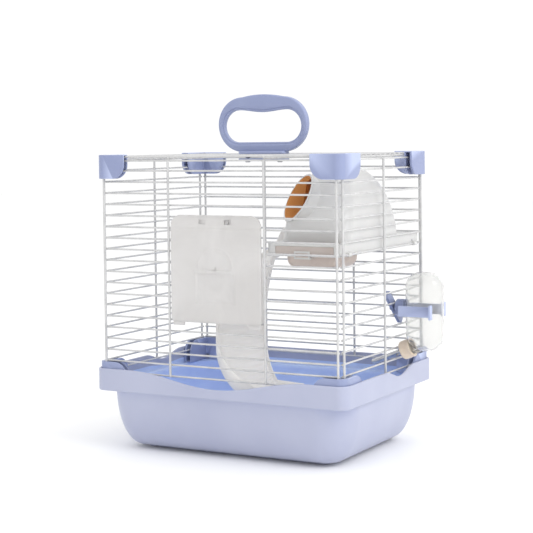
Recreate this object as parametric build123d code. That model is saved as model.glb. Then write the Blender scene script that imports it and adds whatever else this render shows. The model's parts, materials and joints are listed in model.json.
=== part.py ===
from build123d import *
import math
import os

os.makedirs("parts", exist_ok=True)

# Hamster cage. Origin: centre of the tray's footprint on the floor. +Z up, front towards -Y,
# water bottle on the +X side. All sizes in millimetres.

# Wires
H_WIRE_R = 1.0                     # horizontal wire radius
V_WIRE_R = 1.3                     # upright wire radius
PITCH = 12.0                       # horizontal wire pitch
WIRE_ROWS = 20                     # rows on each side panel, the top one closer to the next
TOP_ROW_Z = 310.6
SECOND_ROW_Z = 300.0
UPRIGHT_TOP = 311.0
UPRIGHT_BOTTOM = 83.0
FRONT_UPRIGHT_Y = 105.0            # plane of the front and back uprights
FRONT_ROW_Y = 102.95               # plane of the front and back horizontals, inside the uprights
SIDE_UPRIGHT_X = 142.7
SIDE_ROW_X = 140.65
FRONT_UPRIGHTS = (-138.8, -57.2, 57.2, 138.8)
SIDE_UPRIGHTS = (-99.0, 0.0, 99.0)
FRONT_ROW_HALF = 140.0
SIDE_ROW_HALF = 100.4
DOOR_ROWS = range(6, 14)           # rows cut away for the door
DOOR_STUB_X = 55.0                 # where the cut rows end

# Top panel
TOP_WIRE_Z = 315.0
TOP_CROSS_Z = 313.0
TOP_WIRES = 18
TOP_EDGE_Y = 104.0
TOP_CROSS_X = (-136.0, -57.2, 57.2, 136.0)
TOP_INNER_HALF = 137.4

# Tray
RIM_X, RIM_Y, RIM_R = 150.0, 111.0, 11.5
RIM_TOP, RIM_BOTTOM = 88.0, 64.0
BODY_X, BODY_Y, BODY_R = 144.0, 105.0, 38.0
TRAY_WALL = 2.4
LEDGE_TOP = 69.0
BODY_INSET = 27.0                  # how far the walls curve in at the bottom
BODY_BOTTOM = 3.2
FOOT_INSET = 9.0
FOOT_WIDTH = 5.0
FRONT_DIP_HALF, FRONT_DIP_DEPTH = 108.0, 13.5
SIDE_DIP_Y, SIDE_DIP_HALF, SIDE_DIP_DEPTH = 23.0, 37.0, 8.0

# Corner brackets
BRACKET_X, BRACKET_Y = 147.0, 108.2
BRACKET_ARM_X, BRACKET_ARM_Y = 36.0, 43.0
BRACKET_DEPTH_X, BRACKET_DEPTH_Y = 9.3, 8.2
BRACKET_H = 25.6
BRACKET_ROUND = 15.0
BRACKET_PLATE = 1.0
SLOT_FRONT = (101.6, 106.5)        # slot for the front and back panels, measured from the centre
SLOT_SIDE = (139.3, 144.3)         # slot for the left and right panels
SLOT_CORNER = (141.4, 101.7)       # where the two slots end near the corner
BRACKET_CORNER_R = 8.8
TOP_BRACKET_TOP = 317.1
BOTTOM_BRACKET_BASE = 69.4

# Handle
HANDLE_HALF, HANDLE_CORNER_R = 55.0, 30.0
HANDLE_BASE_Z, HANDLE_TOP_Z = 318.3, 381.0
HANDLE_GRIP_HALF, HANDLE_GRIP_R = 48.0, 19.0
HANDLE_BAR = 10.6
HANDLE_SWELL = 3.0
HANDLE_T = 8.0
FOOT_HALF_X, FOOT_HALF_Y, FOOT_Z = 28.5, 8.5, 316.1
POST_X, POST_R, POST_BOTTOM = 20.0, 3.2, 311.4
CLIP_PLATE_Z = (308.6, 311.2)
SCREW_R, SCREW_HEAD_R, SCREW_HEAD_H = 1.4, 2.8, 1.8
SCREW_TOP = 321.0

# Door
DOOR_HALF, DOOR_TOP, DOOR_BOTTOM = 54.0, 253.0, 142.5
DOOR_BACK_Y, DOOR_T = -104.3, 2.5
DOOR_TOP_R, DOOR_BOTTOM_R = 12.0, 4.0
HINGE_ROW = 5
HINGE_CLIP_X, HINGE_CLIP_W = 15.0, 8.0
HINGE_BORE_R, HINGE_CLIP_R = 1.08, 2.3
HINGE_MOUTH = 1.5
POCKET_HALF, POCKET_TOP, POCKET_BOTTOM, POCKET_DEPTH = 24.0, 196.0, 162.0, 1.0
ARCH_R, ARCH_RIB = 21.0, 1.6
RELIEF = 0.8

# Platform
PLATFORM_LEFT, PLATFORM_RIGHT = 58.0, 138.4
PLATFORM_FRONT, PLATFORM_BACK = -100.2, 100.2
PLATFORM_TOP, PLATFORM_H = 227.0, 13.0
PLATFORM_SKIN = 1.8
PLATFORM_CLIP_Y = (-81.0, 84.0)
CLIP_ROW = 8
PANE_X, PANE_Z, PANE_DEPTH = (67.0, 133.0), (215.2, 224.4), 0.9   # recessed pane in the front edge
BOWL_WELL = (74.0, 134.0, -97.0, -38.0)   # left, right, front, back of the well for the bowl

# Food bowl
BOWL_BOTTOM, BOWL_WALL, BOWL_GAP, BOWL_R = 201.5, 1.6, 0.4, 6.0
BOWL_TOP = 224.4
BOWL_TAB_X, BOWL_TAB_W, BOWL_TAB_Z = 98.0, 18.0, (211.5, 219.5)

# Hut
HUT_X, HUT_Y = 99.0, -12.0
HUT_HALF_X, HUT_HALF_Y, HUT_H, HUT_WALL = 38.0, 66.0, 77.0, 1.8
HUT_BASE_R = 10.0
HUT_PROFILE_POWER = 2.4
HUT_LEVELS = (0.0, 0.12, 0.3, 0.5, 0.68, 0.82, 0.92, 0.975)
ENTRANCE_CENTRE = (75.0, -62.0, 271.0)
ENTRANCE_DIR = (-0.59, -0.667, 0.455)
ENTRANCE_R, COLLAR_T = 25.0, 1.8
DOORWAY_Y, DOORWAY_HALF, DOORWAY_H = -2.0, 21.0, 38.0

# Slide
SLIDE_X, SLIDE_Y = 34.0, -34.6     # axis of the turn
SLIDE_IN_R, SLIDE_OUT_R = 13.2, 66.3
SLIDE_TOP_Z, SLIDE_DROP = 225.0, 159.5
SLIDE_TURN, SLIDE_STEP = 204.0, 12.0
SLIDE_RUN_OUT, SLIDE_END_DROP = 28.0, 4.0
SLIDE_EASE = 0.42                  # how much the slope softens at both ends
SLIDE_T, SLIDE_OUTER_H, SLIDE_INNER_H, SLIDE_SKIRT = 2.0, 5.0, 13.0, 10.0
SLIDE_LIP_END = 66.0
SLIDE_SKIRT_FOOT = 38.0            # lowest point of the outer skirt
LEG_R0, LEG_R1, LEG_D0, LEG_D1 = 20.0, 46.0, 5.0, 24.0   # hollow leg, across and along the run-out
LEG_FOOT_GAP = 0.4

# Water bottle, cap and sipper
BOTTLE_X, BOTTLE_Y = 173.0, 35.0
BOTTLE_W, BOTTLE_D, BOTTLE_R = 40.4, 31.4, 14.8
BOTTLE_BOTTOM, BOTTLE_TOP = 106.0, 189.6
BOTTLE_ROUND, BOTTLE_WALL = 13.0, 1.2
NECK_ANGLE = 22.0                  # slope of the neck, cap and sipper below the horizontal
NECK_START = (160.0, 109.8)        # x, z where the neck leaves the bottle
NECK_R, NECK_BORE_R, NECK_L, NECK_ROOT = 7.5, 5.6, 10.6, 6.0
CAP_R, CAP_L, CAP_GAP, CAP_END = 10.0, 10.8, 1.6, 1.6
CAP_FIT = 0.08
CAP_GROOVES = 20
TUBE_R, TUBE_BORE_R, TUBE_START, TUBE_END = 3.0, 2.4, 0.9, 52.0
BALL_R, BALL_TRAVEL = 2.33, 1.5
TUBE_LIP_R = 1.9

# Bottle holder
HOLDER_Z = (143.5, 154.5)
HOLDER_BACK_X, HOLDER_FACE_X, HOLDER_ARM_T = 142.1, 152.2, 2.2
HOLDER_GAP = 0.35
ARM_END_X, FLANGE_T, FLANGE_OUT = 186.0, 2.0, 4.0
FLANGE_Z = (141.5, 156.5)
HOLDER_NECK_HALF = 8.0
CLAMP_Z, BOSS_R, BOSS_END_X = 151.0, 9.0, 151.0
WING_HALF, WING_W, WING_X = 25.0, 9.5, (135.6, 139.1)
WING_TILT = 43.0                   # upper end leans to the front
CLAMP_SCREW_R, CLAMP_FIT = 1.8, 0.08
CLAMP_HEAD_R, CLAMP_HEAD_X = 3.4, 133.6


def row_z(row):
    """Height of a horizontal wire, counted from the top."""
    if row == 0:
        return TOP_ROW_Z
    return SECOND_ROW_Z - PITCH * (row - 1)


def block(x0, x1, y0, y1, z0, z1):
    """Box from its six faces."""
    return Pos((x0 + x1) / 2, (y0 + y1) / 2, (z0 + z1) / 2) * Box(x1 - x0, y1 - y0, z1 - z0)


def rod(start, end, radius):
    """Round rod between two points."""
    direction = Vector(*end) - Vector(*start)
    return extrude(Plane(origin=start, z_dir=direction) * Circle(radius), direction.length)


def rounded_prism(half_x, half_y, radius, z0, z1):
    """Upright prism on a rounded rectangle centred on the Z axis."""
    return Pos(0, 0, z0) * extrude(RectangleRounded(2 * half_x, 2 * half_y, radius), z1 - z0)


def swept_round(half_x, half_y, radius, profile):
    """Wall whose XZ profile, with x measured from the corner axis, runs round a rounded rectangle."""
    centre_x, centre_y = half_x - radius, half_y - radius
    long_side = extrude(profile, centre_x, both=True)
    short_side = extrude(profile, centre_y, both=True)
    corner = revolve(profile, Axis.Z, 90)
    pieces = []
    for turn, reach, side in ((0, centre_x, short_side), (90, centre_y, long_side),
                              (180, centre_x, short_side), (270, centre_y, long_side)):
        pieces.append(Rot(0, 0, turn) * Pos(reach, 0, 0) * side)
    for turn, sx, sy in ((0, 1, 1), (90, -1, 1), (180, -1, -1), (270, 1, -1)):
        pieces.append(Pos(sx * centre_x, sy * centre_y, 0) * Rot(0, 0, turn) * corner)
    return Part() + pieces


def tray_wall_profile():
    """Section of the curved body wall, x measured from the corner axis."""
    height = RIM_BOTTOM - BODY_BOTTOM
    x_in = BODY_R - BODY_INSET
    outer = EllipticalCenterArc((x_in, RIM_BOTTOM), BODY_INSET, height, 270, arc_size=90)
    inner = EllipticalCenterArc((x_in, RIM_BOTTOM), BODY_INSET - TRAY_WALL, height - TRAY_WALL, 270,
                                arc_size=90)
    top = Line(outer @ 1, inner @ 1)
    bottom = Line(inner @ 0, outer @ 0)
    return make_face(Plane.XZ * (Curve() + [outer, top, inner, bottom]))


def dip_cutter(half, depth, top):
    """Prism, along Y, over a smooth dip in an edge that runs along X."""
    wave = Spline((-half, top), (-half / 2, top - depth / 2), (0, top - depth),
                  (half / 2, top - depth / 2), (half, top), tangents=[(1, 0), (1, 0)])
    over = Polyline((half, top), (half, top + depth), (-half, top + depth), (-half, top))
    return extrude(make_face(Plane.XZ * (Curve() + [wave, over])), 8.0, both=True)


def tray():
    """Moulded tray: curved body, floor, foot ring, ledge and rim band with its dips."""
    inset = BODY_INSET - TRAY_WALL
    floor = rounded_prism(BODY_X - BODY_INSET, BODY_Y - BODY_INSET, BODY_R - BODY_INSET,
                          BODY_BOTTOM, BODY_BOTTOM + TRAY_WALL)
    foot_x, foot_y = BODY_X - inset - FOOT_INSET, BODY_Y - inset - FOOT_INSET
    foot = rounded_prism(foot_x, foot_y, FOOT_WIDTH + 1, 0, BODY_BOTTOM)
    foot -= rounded_prism(foot_x - FOOT_WIDTH, foot_y - FOOT_WIDTH, 1, 0, BODY_BOTTOM)
    rim = rounded_prism(RIM_X, RIM_Y, RIM_R, RIM_BOTTOM, RIM_TOP)
    rim -= rounded_prism(RIM_X - TRAY_WALL, RIM_Y - TRAY_WALL, RIM_R - TRAY_WALL, LEDGE_TOP, RIM_TOP)
    rim -= rounded_prism(BODY_X - TRAY_WALL, BODY_Y - TRAY_WALL, BODY_R - TRAY_WALL, RIM_BOTTOM, LEDGE_TOP)
    rim -= Pos(0, -RIM_Y, 0) * dip_cutter(FRONT_DIP_HALF, FRONT_DIP_DEPTH, RIM_TOP)
    for side in (-1, 1):
        dip = Rot(0, 0, 90) * dip_cutter(SIDE_DIP_HALF, SIDE_DIP_DEPTH, RIM_TOP)
        rim -= Pos(side * RIM_X, SIDE_DIP_Y, 0) * dip
    body = swept_round(BODY_X, BODY_Y, BODY_R, tray_wall_profile())
    return body + floor + foot + rim


def front_panel(side, has_door):
    """Welded wire panel across the front (side -1) or back (side 1)."""
    y_up, y_row = side * FRONT_UPRIGHT_Y, side * FRONT_ROW_Y
    wires = [rod((x, y_up, UPRIGHT_BOTTOM), (x, y_up, UPRIGHT_TOP), V_WIRE_R) for x in FRONT_UPRIGHTS]
    for row in range(WIRE_ROWS):
        z = row_z(row)
        if has_door and row in DOOR_ROWS:
            for end in (-1, 1):
                wires.append(rod((end * FRONT_ROW_HALF, y_row, z), (end * DOOR_STUB_X, y_row, z), H_WIRE_R))
        else:
            wires.append(rod((-FRONT_ROW_HALF, y_row, z), (FRONT_ROW_HALF, y_row, z), H_WIRE_R))
    return Part() + wires


def side_panel(side):
    """Wire panel on the left (side -1) or right (side 1); its wires meet in flats where they are welded."""
    x_up, x_row = side * SIDE_UPRIGHT_X, side * SIDE_ROW_X
    uprights = [rod((x_up, y, UPRIGHT_BOTTOM), (x_up, y, UPRIGHT_TOP), V_WIRE_R) for y in SIDE_UPRIGHTS]
    cut = Part() + uprights
    rows = []
    for row in range(WIRE_ROWS):
        z = row_z(row)
        wire = rod((x_row, -SIDE_ROW_HALF, z), (x_row, SIDE_ROW_HALF, z), H_WIRE_R) - cut
        rows.append(wire.solids().sort_by(SortBy.VOLUME)[-1])
    return Compound(children=[upright.solids()[0] for upright in uprights] + rows)


def top_panel():
    """Welded wire panel over the top."""
    wires = []
    for x in TOP_CROSS_X:
        wires.append(rod((x, -TOP_EDGE_Y, TOP_CROSS_Z), (x, TOP_EDGE_Y, TOP_CROSS_Z), V_WIRE_R))
    spacing = 2 * TOP_EDGE_Y / (TOP_WIRES - 1)
    for i in range(TOP_WIRES):
        y = -TOP_EDGE_Y + i * spacing
        half = FRONT_ROW_HALF if i in (0, TOP_WIRES - 1) else TOP_INNER_HALF
        wires.append(rod((-half, y, TOP_WIRE_Z), (half, y, TOP_WIRE_Z), H_WIRE_R))
    return Part() + wires


def bracket_arm(length, depth):
    """One bracket arm along +X with its lower free corner rounded."""
    outline = Rectangle(length, BRACKET_H, align=(Align.MIN, Align.MIN))
    corner = outline.vertices().sort_by(lambda v: v.X - v.Y)[-1]
    return extrude(Plane.XZ * fillet(corner, BRACKET_ROUND), -depth)


def corner_bracket():
    """Top bracket for the front right corner, its slots open downwards."""
    arm_x = Pos(BRACKET_X, -BRACKET_Y, 0) * mirror(bracket_arm(BRACKET_ARM_X, BRACKET_DEPTH_Y), Plane.YZ)
    arm_y = Pos(BRACKET_X, -BRACKET_Y, 0) * Rot(0, 0, 90) * bracket_arm(BRACKET_ARM_Y, BRACKET_DEPTH_X)
    bracket = arm_x + arm_y
    upright_edge = [e for e in bracket.edges().filter_by(Axis.Z)
                    if abs(e.center().X - BRACKET_X) < 0.1 and abs(e.center().Y + BRACKET_Y) < 0.1]
    bracket = fillet(upright_edge, BRACKET_CORNER_R)
    slot_top = BRACKET_H - BRACKET_PLATE
    bracket -= block(0, SLOT_CORNER[0], -SLOT_FRONT[1], -SLOT_FRONT[0], -1, slot_top)
    bracket -= block(SLOT_SIDE[0], SLOT_SIDE[1], -SLOT_CORNER[1], 0, -1, slot_top)
    notch_half = V_WIRE_R + 0.4
    bracket -= block(TOP_CROSS_X[-1] - notch_half, TOP_CROSS_X[-1] + notch_half,
                     -SLOT_FRONT[0] - 0.1, -BRACKET_Y + BRACKET_DEPTH_Y + 0.1, slot_top - 5.0, slot_top)
    return bracket


def place_bracket(bracket, side_x, side_y, is_top):
    """Move the front right top bracket to any corner."""
    placed = Pos(0, 0, TOP_BRACKET_TOP - BRACKET_H) * bracket
    if not is_top:
        placed = Pos(0, 0, BOTTOM_BRACKET_BASE + BRACKET_H) * mirror(bracket, Plane.XY)
    if side_x < 0:
        placed = mirror(placed, Plane.YZ)
    if side_y > 0:
        placed = mirror(placed, Plane.XZ)
    return placed


def handle():
    """Carrying loop with its foot and two screw posts."""
    centre_x = HANDLE_HALF - HANDLE_CORNER_R
    mid_z = HANDLE_BASE_Z + HANDLE_CORNER_R
    outline = Curve() + [
        Line((-centre_x, HANDLE_BASE_Z), (centre_x, HANDLE_BASE_Z)),
        ThreePointArc((centre_x, HANDLE_BASE_Z), (HANDLE_HALF, mid_z), (centre_x, mid_z + HANDLE_CORNER_R)),
        ThreePointArc((centre_x, mid_z + HANDLE_CORNER_R), (0, HANDLE_TOP_Z), (-centre_x, mid_z + HANDLE_CORNER_R)),
        ThreePointArc((-centre_x, mid_z + HANDLE_CORNER_R), (-HANDLE_HALF, mid_z), (-centre_x, HANDLE_BASE_Z))]
    grip_x = HANDLE_GRIP_HALF - HANDLE_GRIP_R
    grip_z = HANDLE_BASE_Z + HANDLE_BAR
    grip_top = grip_z + 2 * HANDLE_GRIP_R
    hole = Curve() + [
        Line((-grip_x, grip_z), (grip_x, grip_z)),
        ThreePointArc((grip_x, grip_z), (HANDLE_GRIP_HALF, grip_z + HANDLE_GRIP_R), (grip_x, grip_top)),
        ThreePointArc((grip_x, grip_top), (0, grip_top - HANDLE_SWELL), (-grip_x, grip_top)),
        ThreePointArc((-grip_x, grip_top), (-HANDLE_GRIP_HALF, grip_z + HANDLE_GRIP_R), (-grip_x, grip_z))]
    loop = extrude(make_face(Plane.XZ * outline), HANDLE_T / 2, both=True)
    loop -= extrude(make_face(Plane.XZ * hole), HANDLE_T, both=True)
    foot = rounded_prism(FOOT_HALF_X, FOOT_HALF_Y, 4.0, FOOT_Z, HANDLE_BASE_Z + 1.0)
    whole = loop + foot
    for side in (-1, 1):
        post = rod((side * POST_X, 0, POST_BOTTOM), (side * POST_X, 0, FOOT_Z + 1), POST_R)
        whole += post
    for side in (-1, 1):
        whole -= rod((side * POST_X, 0, POST_BOTTOM - 1), (side * POST_X, 0, SCREW_TOP + 0.5), SCREW_R + 0.05)
    return whole


def handle_clip_plate():
    """Plate under the top wires that the handle is screwed to."""
    plate = rounded_prism(FOOT_HALF_X, FOOT_HALF_Y, 4.0, *CLIP_PLATE_Z)
    for side in (-1, 1):
        plate -= rod((side * POST_X, 0, CLIP_PLATE_Z[0] - 1), (side * POST_X, 0, CLIP_PLATE_Z[1] + 1),
                     SCREW_R + 0.1)
    return plate


def handle_screws():
    """Two screws up through the clip plate into the handle's posts."""
    screws = []
    for side in (-1, 1):
        head_top = CLIP_PLATE_Z[0] - 0.05
        shank = rod((side * POST_X, 0, head_top - 0.2), (side * POST_X, 0, SCREW_TOP), SCREW_R)
        head = rod((side * POST_X, 0, head_top - SCREW_HEAD_H), (side * POST_X, 0, head_top), SCREW_HEAD_R)
        cross = block(side * POST_X - 1.8, side * POST_X + 1.8, -0.35, 0.35, head_top - 3, head_top - 1)
        screws.append((shank + head - cross).solid())
    return Compound(children=screws)


def door():
    """Door flap with hinge clips, pull pocket, arch rib and two bottom lugs."""
    width, height = 2 * DOOR_HALF, DOOR_TOP - DOOR_BOTTOM
    outline = Rectangle(width, height)
    top_corners = outline.vertices().group_by(Axis.Y)[-1]
    outline = fillet(top_corners, DOOR_TOP_R)
    low_corners = outline.vertices().group_by(Axis.Y)[0]
    outline = fillet(low_corners, DOOR_BOTTOM_R)
    mid_z = (DOOR_TOP + DOOR_BOTTOM) / 2
    front_y = DOOR_BACK_Y - DOOR_T
    flap = extrude(Plane(origin=(0, DOOR_BACK_Y, mid_z), x_dir=(1, 0, 0), z_dir=(0, -1, 0)) * outline, DOOR_T)
    flap -= block(-POCKET_HALF, POCKET_HALF, front_y, front_y + POCKET_DEPTH, POCKET_BOTTOM, POCKET_TOP)
    flap += block(-POCKET_HALF + 2, POCKET_HALF - 6, front_y - RELIEF, front_y + POCKET_DEPTH,
                  POCKET_TOP - 3, POCKET_TOP)
    rib = Circle(ARCH_R) - Circle(ARCH_R - ARCH_RIB)
    rib -= Pos(0, -ARCH_R) * Rectangle(3 * ARCH_R, 2 * ARCH_R)
    arch_plane = Plane(origin=(0, front_y + 0.2, POCKET_TOP + 4), x_dir=(1, 0, 0), z_dir=(0, -1, 0))
    flap += extrude(arch_plane * rib, RELIEF + 0.2)
    for side in (-1, 1):
        lug_x = side * (DOOR_HALF - 9.0)
        flap += block(lug_x - 7, lug_x + 7, front_y + 0.6, DOOR_BACK_Y - 0.3, DOOR_BOTTOM - 3.5, DOOR_BOTTOM + 2)
    hinge_z = row_z(HINGE_ROW)
    for side in (-1, 1):
        x0 = side * HINGE_CLIP_X - HINGE_CLIP_W / 2
        x1 = x0 + HINGE_CLIP_W
        flap -= block(x0, x1, front_y - 1, DOOR_BACK_Y + 1, hinge_z - 7.2, hinge_z - 2.4)
        clip = rod((x0, -FRONT_ROW_Y, hinge_z), (x1, -FRONT_ROW_Y, hinge_z), HINGE_CLIP_R)
        clip += block(x0, x1, front_y + 0.5, -FRONT_ROW_Y - 1.2, hinge_z - 1.6, hinge_z + 1.0)
        clip -= rod((x0 - 1, -FRONT_ROW_Y, hinge_z), (x1 + 1, -FRONT_ROW_Y, hinge_z), HINGE_BORE_R)
        clip -= block(x0 - 1, x1 + 1, -FRONT_ROW_Y, -FRONT_ROW_Y + 3, hinge_z - HINGE_MOUTH / 2,
                      hinge_z + HINGE_MOUTH / 2)
        flap += clip
    return flap


def platform():
    """Upper floor: a shallow inverted tray with a well for the bowl and clips for the wire."""
    z0 = PLATFORM_TOP - PLATFORM_H
    mid_x, mid_y = (PLATFORM_LEFT + PLATFORM_RIGHT) / 2, (PLATFORM_FRONT + PLATFORM_BACK) / 2
    half_x, half_y = (PLATFORM_RIGHT - PLATFORM_LEFT) / 2, (PLATFORM_BACK - PLATFORM_FRONT) / 2
    deck = Pos(mid_x, mid_y, 0) * rounded_prism(half_x, half_y, 3.0, z0, PLATFORM_TOP)
    skin = PLATFORM_SKIN
    deck -= Pos(mid_x, mid_y, 0) * rounded_prism(half_x - skin, half_y - skin, 1.2, z0, PLATFORM_TOP - skin)
    left, right, front, back = BOWL_WELL
    deck -= block(left, right, front, back, z0, PLATFORM_TOP + 1)
    deck -= block(*PANE_X, PLATFORM_FRONT - 1, PLATFORM_FRONT + PANE_DEPTH, *PANE_Z)
    clip_z = row_z(CLIP_ROW)
    for y in PLATFORM_CLIP_Y:
        clip = rod((SIDE_ROW_X, y - 3, clip_z), (SIDE_ROW_X, y + 3, clip_z), 2.3)
        clip += block(PLATFORM_RIGHT - 1, SIDE_ROW_X, y - 3, y + 3, clip_z - 0.2, clip_z + 2.3)
        clip -= rod((SIDE_ROW_X, y - 4, clip_z), (SIDE_ROW_X, y + 4, clip_z), H_WIRE_R + 0.05)
        clip -= block(SIDE_ROW_X - 0.75, SIDE_ROW_X + 0.75, y - 4, y + 4, clip_z - 4, clip_z)
        deck += clip
    return deck


def food_bowl():
    """Bowl that clips up into the platform's well, with its front tab."""
    left, right, front, back = BOWL_WELL
    gap = BOWL_GAP
    mid_x, mid_y = (left + right) / 2, (front + back) / 2
    half_x, half_y = (right - left) / 2 - gap, (back - front) / 2 - gap
    bowl = Pos(mid_x, mid_y, 0) * rounded_prism(half_x, half_y, BOWL_R, BOWL_BOTTOM, BOWL_TOP)
    low_edges = bowl.edges().group_by(Axis.Z)[0]
    bowl = fillet(low_edges, 4.0)
    inner = Pos(mid_x, mid_y, 0) * rounded_prism(half_x - BOWL_WALL, half_y - BOWL_WALL, BOWL_R - BOWL_WALL,
                                                 BOWL_BOTTOM + BOWL_WALL, BOWL_TOP + 1)
    bowl -= inner
    tab_y = PLATFORM_FRONT - 1.3
    bowl += block(BOWL_TAB_X - BOWL_TAB_W / 2, BOWL_TAB_X + BOWL_TAB_W / 2, tab_y, PLATFORM_FRONT - 0.35,
                  *BOWL_TAB_Z)
    bowl += block(BOWL_TAB_X - BOWL_TAB_W / 2, BOWL_TAB_X + BOWL_TAB_W / 2, tab_y, front + gap + 1.0,
                  BOWL_TAB_Z[0], PLATFORM_TOP - PLATFORM_H - 0.35)
    return bowl


def hut_scale(level):
    """Width of the hut at a share of its height, as a share of its base."""
    return (1 - level ** HUT_PROFILE_POWER) ** (1 / HUT_PROFILE_POWER)


def hut_solid(inset):
    """Domed block, smaller by inset on every side."""
    sections = []
    for level in HUT_LEVELS:
        scale = hut_scale(level)
        half_x, half_y = (HUT_HALF_X - inset) * scale, (HUT_HALF_Y - inset) * scale
        radius = min(HUT_BASE_R + (half_x - HUT_BASE_R) * level * 0.9, half_x * 0.98)
        z = PLATFORM_TOP + 0.1 + level * (HUT_H - inset)
        sections.append(Pos(HUT_X, HUT_Y, z) * RectangleRounded(2 * half_x, 2 * half_y, radius))
    return loft(sections)


def hut():
    """Domed shell with a slanted round entrance, its collar and a side doorway to the slide."""
    centre, direction = Vector(*ENTRANCE_CENTRE), Vector(*ENTRANCE_DIR).normalized()
    face = Plane(origin=centre, z_dir=direction)
    dome = hut_solid(0.0)
    cavity = hut_solid(HUT_WALL)
    dome -= extrude(face * Rectangle(200, 200), 80)
    collar = extrude(face * Circle(ENTRANCE_R + COLLAR_T), -14) + extrude(face * Circle(ENTRANCE_R + COLLAR_T), 1.2)
    shell = dome + collar - cavity
    shell -= extrude(face * Circle(ENTRANCE_R), 20) + extrude(face * Circle(ENTRANCE_R), -20)
    z0 = PLATFORM_TOP
    arch_z = z0 + DOORWAY_H - DOORWAY_HALF
    x0, x1 = HUT_X - HUT_HALF_X - 2, HUT_X - 10
    shell -= block(x0, x1, DOORWAY_Y - DOORWAY_HALF, DOORWAY_Y + DOORWAY_HALF, z0 - 1, arch_z)
    shell -= rod((x0, DOORWAY_Y, arch_z), (x1, DOORWAY_Y, arch_z), DOORWAY_HALF)
    return shell.solids().sort_by(SortBy.VOLUME)[-1]


def slide_height(share):
    """Height of the chute floor at a share of the turn."""
    eased = share - SLIDE_EASE * math.sin(2 * math.pi * share) / (2 * math.pi)
    return SLIDE_TOP_Z - SLIDE_DROP * eased


def slide_section(origin, outward, floor_z, share):
    """U-shaped section of the chute on a plane through the turn's axis direction."""
    r0, r1, t = SLIDE_IN_R, SLIDE_OUT_R, SLIDE_T
    skirt = SLIDE_SKIRT + (SLIDE_TOP_Z - SLIDE_DROP - SLIDE_SKIRT_FOOT - SLIDE_SKIRT) * share ** 3
    points = [(r1, -skirt), (r1, SLIDE_OUTER_H), (r1 - t, SLIDE_OUTER_H), (r1 - t, 0), (r0 + t, 0),
              (r0 + t, SLIDE_INNER_H), (r0, SLIDE_INNER_H), (r0, -t), (r1 - t, -t), (r1 - t, -skirt)]
    normal = Vector(*outward, 0).cross(Vector(0, 0, 1))
    plane = Plane(origin=(origin[0], origin[1], floor_z), x_dir=(*outward, 0), z_dir=normal)
    return plane * make_face(Polyline(*points, close=True))


def slide():
    """Chute that leaves the platform to the left, winds down and runs out at the front."""
    sections = [slide_section((PLATFORM_LEFT - 0.3, SLIDE_Y), (0, 1), SLIDE_TOP_Z, 0)]
    steps = int(SLIDE_TURN / SLIDE_STEP)
    for i in range(steps + 1):
        angle = math.radians(90 + i * SLIDE_STEP)
        outward = (math.cos(angle), math.sin(angle))
        sections.append(slide_section((SLIDE_X, SLIDE_Y), outward, slide_height(i / steps), i / steps))
    end = math.radians(90 + SLIDE_TURN)
    shift = (-math.sin(end) * SLIDE_RUN_OUT, math.cos(end) * SLIDE_RUN_OUT)
    sections.append(slide_section((SLIDE_X + shift[0], SLIDE_Y + shift[1]), (math.cos(end), math.sin(end)),
                                  slide_height(1) - SLIDE_END_DROP, 1))
    chute = loft(sections, ruled=True)
    leg_z = (BODY_BOTTOM + TRAY_WALL + LEG_FOOT_GAP, slide_height(1) - SLIDE_END_DROP - SLIDE_T / 2)
    leg = block(LEG_R0, LEG_R1, LEG_D0, LEG_D1, *leg_z)
    leg -= block(LEG_R0 + SLIDE_T, LEG_R1 - SLIDE_T, LEG_D0 + SLIDE_T, LEG_D1 - SLIDE_T, leg_z[0], leg_z[1])
    chute += Pos(SLIDE_X, SLIDE_Y, 0) * Rot(0, 0, 90 + SLIDE_TURN) * leg
    lip_y = (SLIDE_Y + SLIDE_IN_R + SLIDE_INNER_H, DOORWAY_Y + DOORWAY_HALF - 1)
    chute += block(PLATFORM_LEFT - 4, SLIDE_LIP_END, *lip_y, PLATFORM_TOP + 0.05, PLATFORM_TOP + 1.2)
    chute += block(PLATFORM_LEFT - 4, PLATFORM_LEFT - 0.3, *lip_y, SLIDE_TOP_Z - 1, PLATFORM_TOP + 1.2)
    return chute


def neck_plane(distance):
    """Plane across the neck axis, at a distance from the bottle along the neck."""
    a = math.radians(NECK_ANGLE)
    axis = Vector(-math.cos(a), 0, -math.sin(a))
    origin = Vector(NECK_START[0], BOTTLE_Y, NECK_START[1]) + axis * distance
    return Plane(origin=origin, x_dir=(0, 1, 0), z_dir=axis)


def bottle_form(inset, start):
    """Flat-sided bottle body cut square to the neck, smaller by inset on every side."""
    z0, z1 = BOTTLE_BOTTOM + inset, BOTTLE_TOP - inset
    half_x, half_y = BOTTLE_W / 2 - inset, BOTTLE_D / 2 - inset
    body = Pos(BOTTLE_X, BOTTLE_Y, 0) * rounded_prism(half_x, half_y, BOTTLE_R - inset, z0, z1)
    body = fillet(body.edges().group_by(Axis.Z)[0] + body.edges().group_by(Axis.Z)[-1], BOTTLE_ROUND - inset)
    return body - extrude(neck_plane(start) * Rectangle(60, 60), 30)


def bottle():
    """Hollow bottle with its sloping neck."""
    shell = bottle_form(0, 0) + extrude(neck_plane(-NECK_ROOT) * Circle(NECK_R), NECK_ROOT + NECK_L)
    shell -= bottle_form(BOTTLE_WALL, -BOTTLE_WALL)
    return shell - extrude(neck_plane(-NECK_ROOT - 2) * Circle(NECK_BORE_R), NECK_ROOT + NECK_L + 4)


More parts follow.
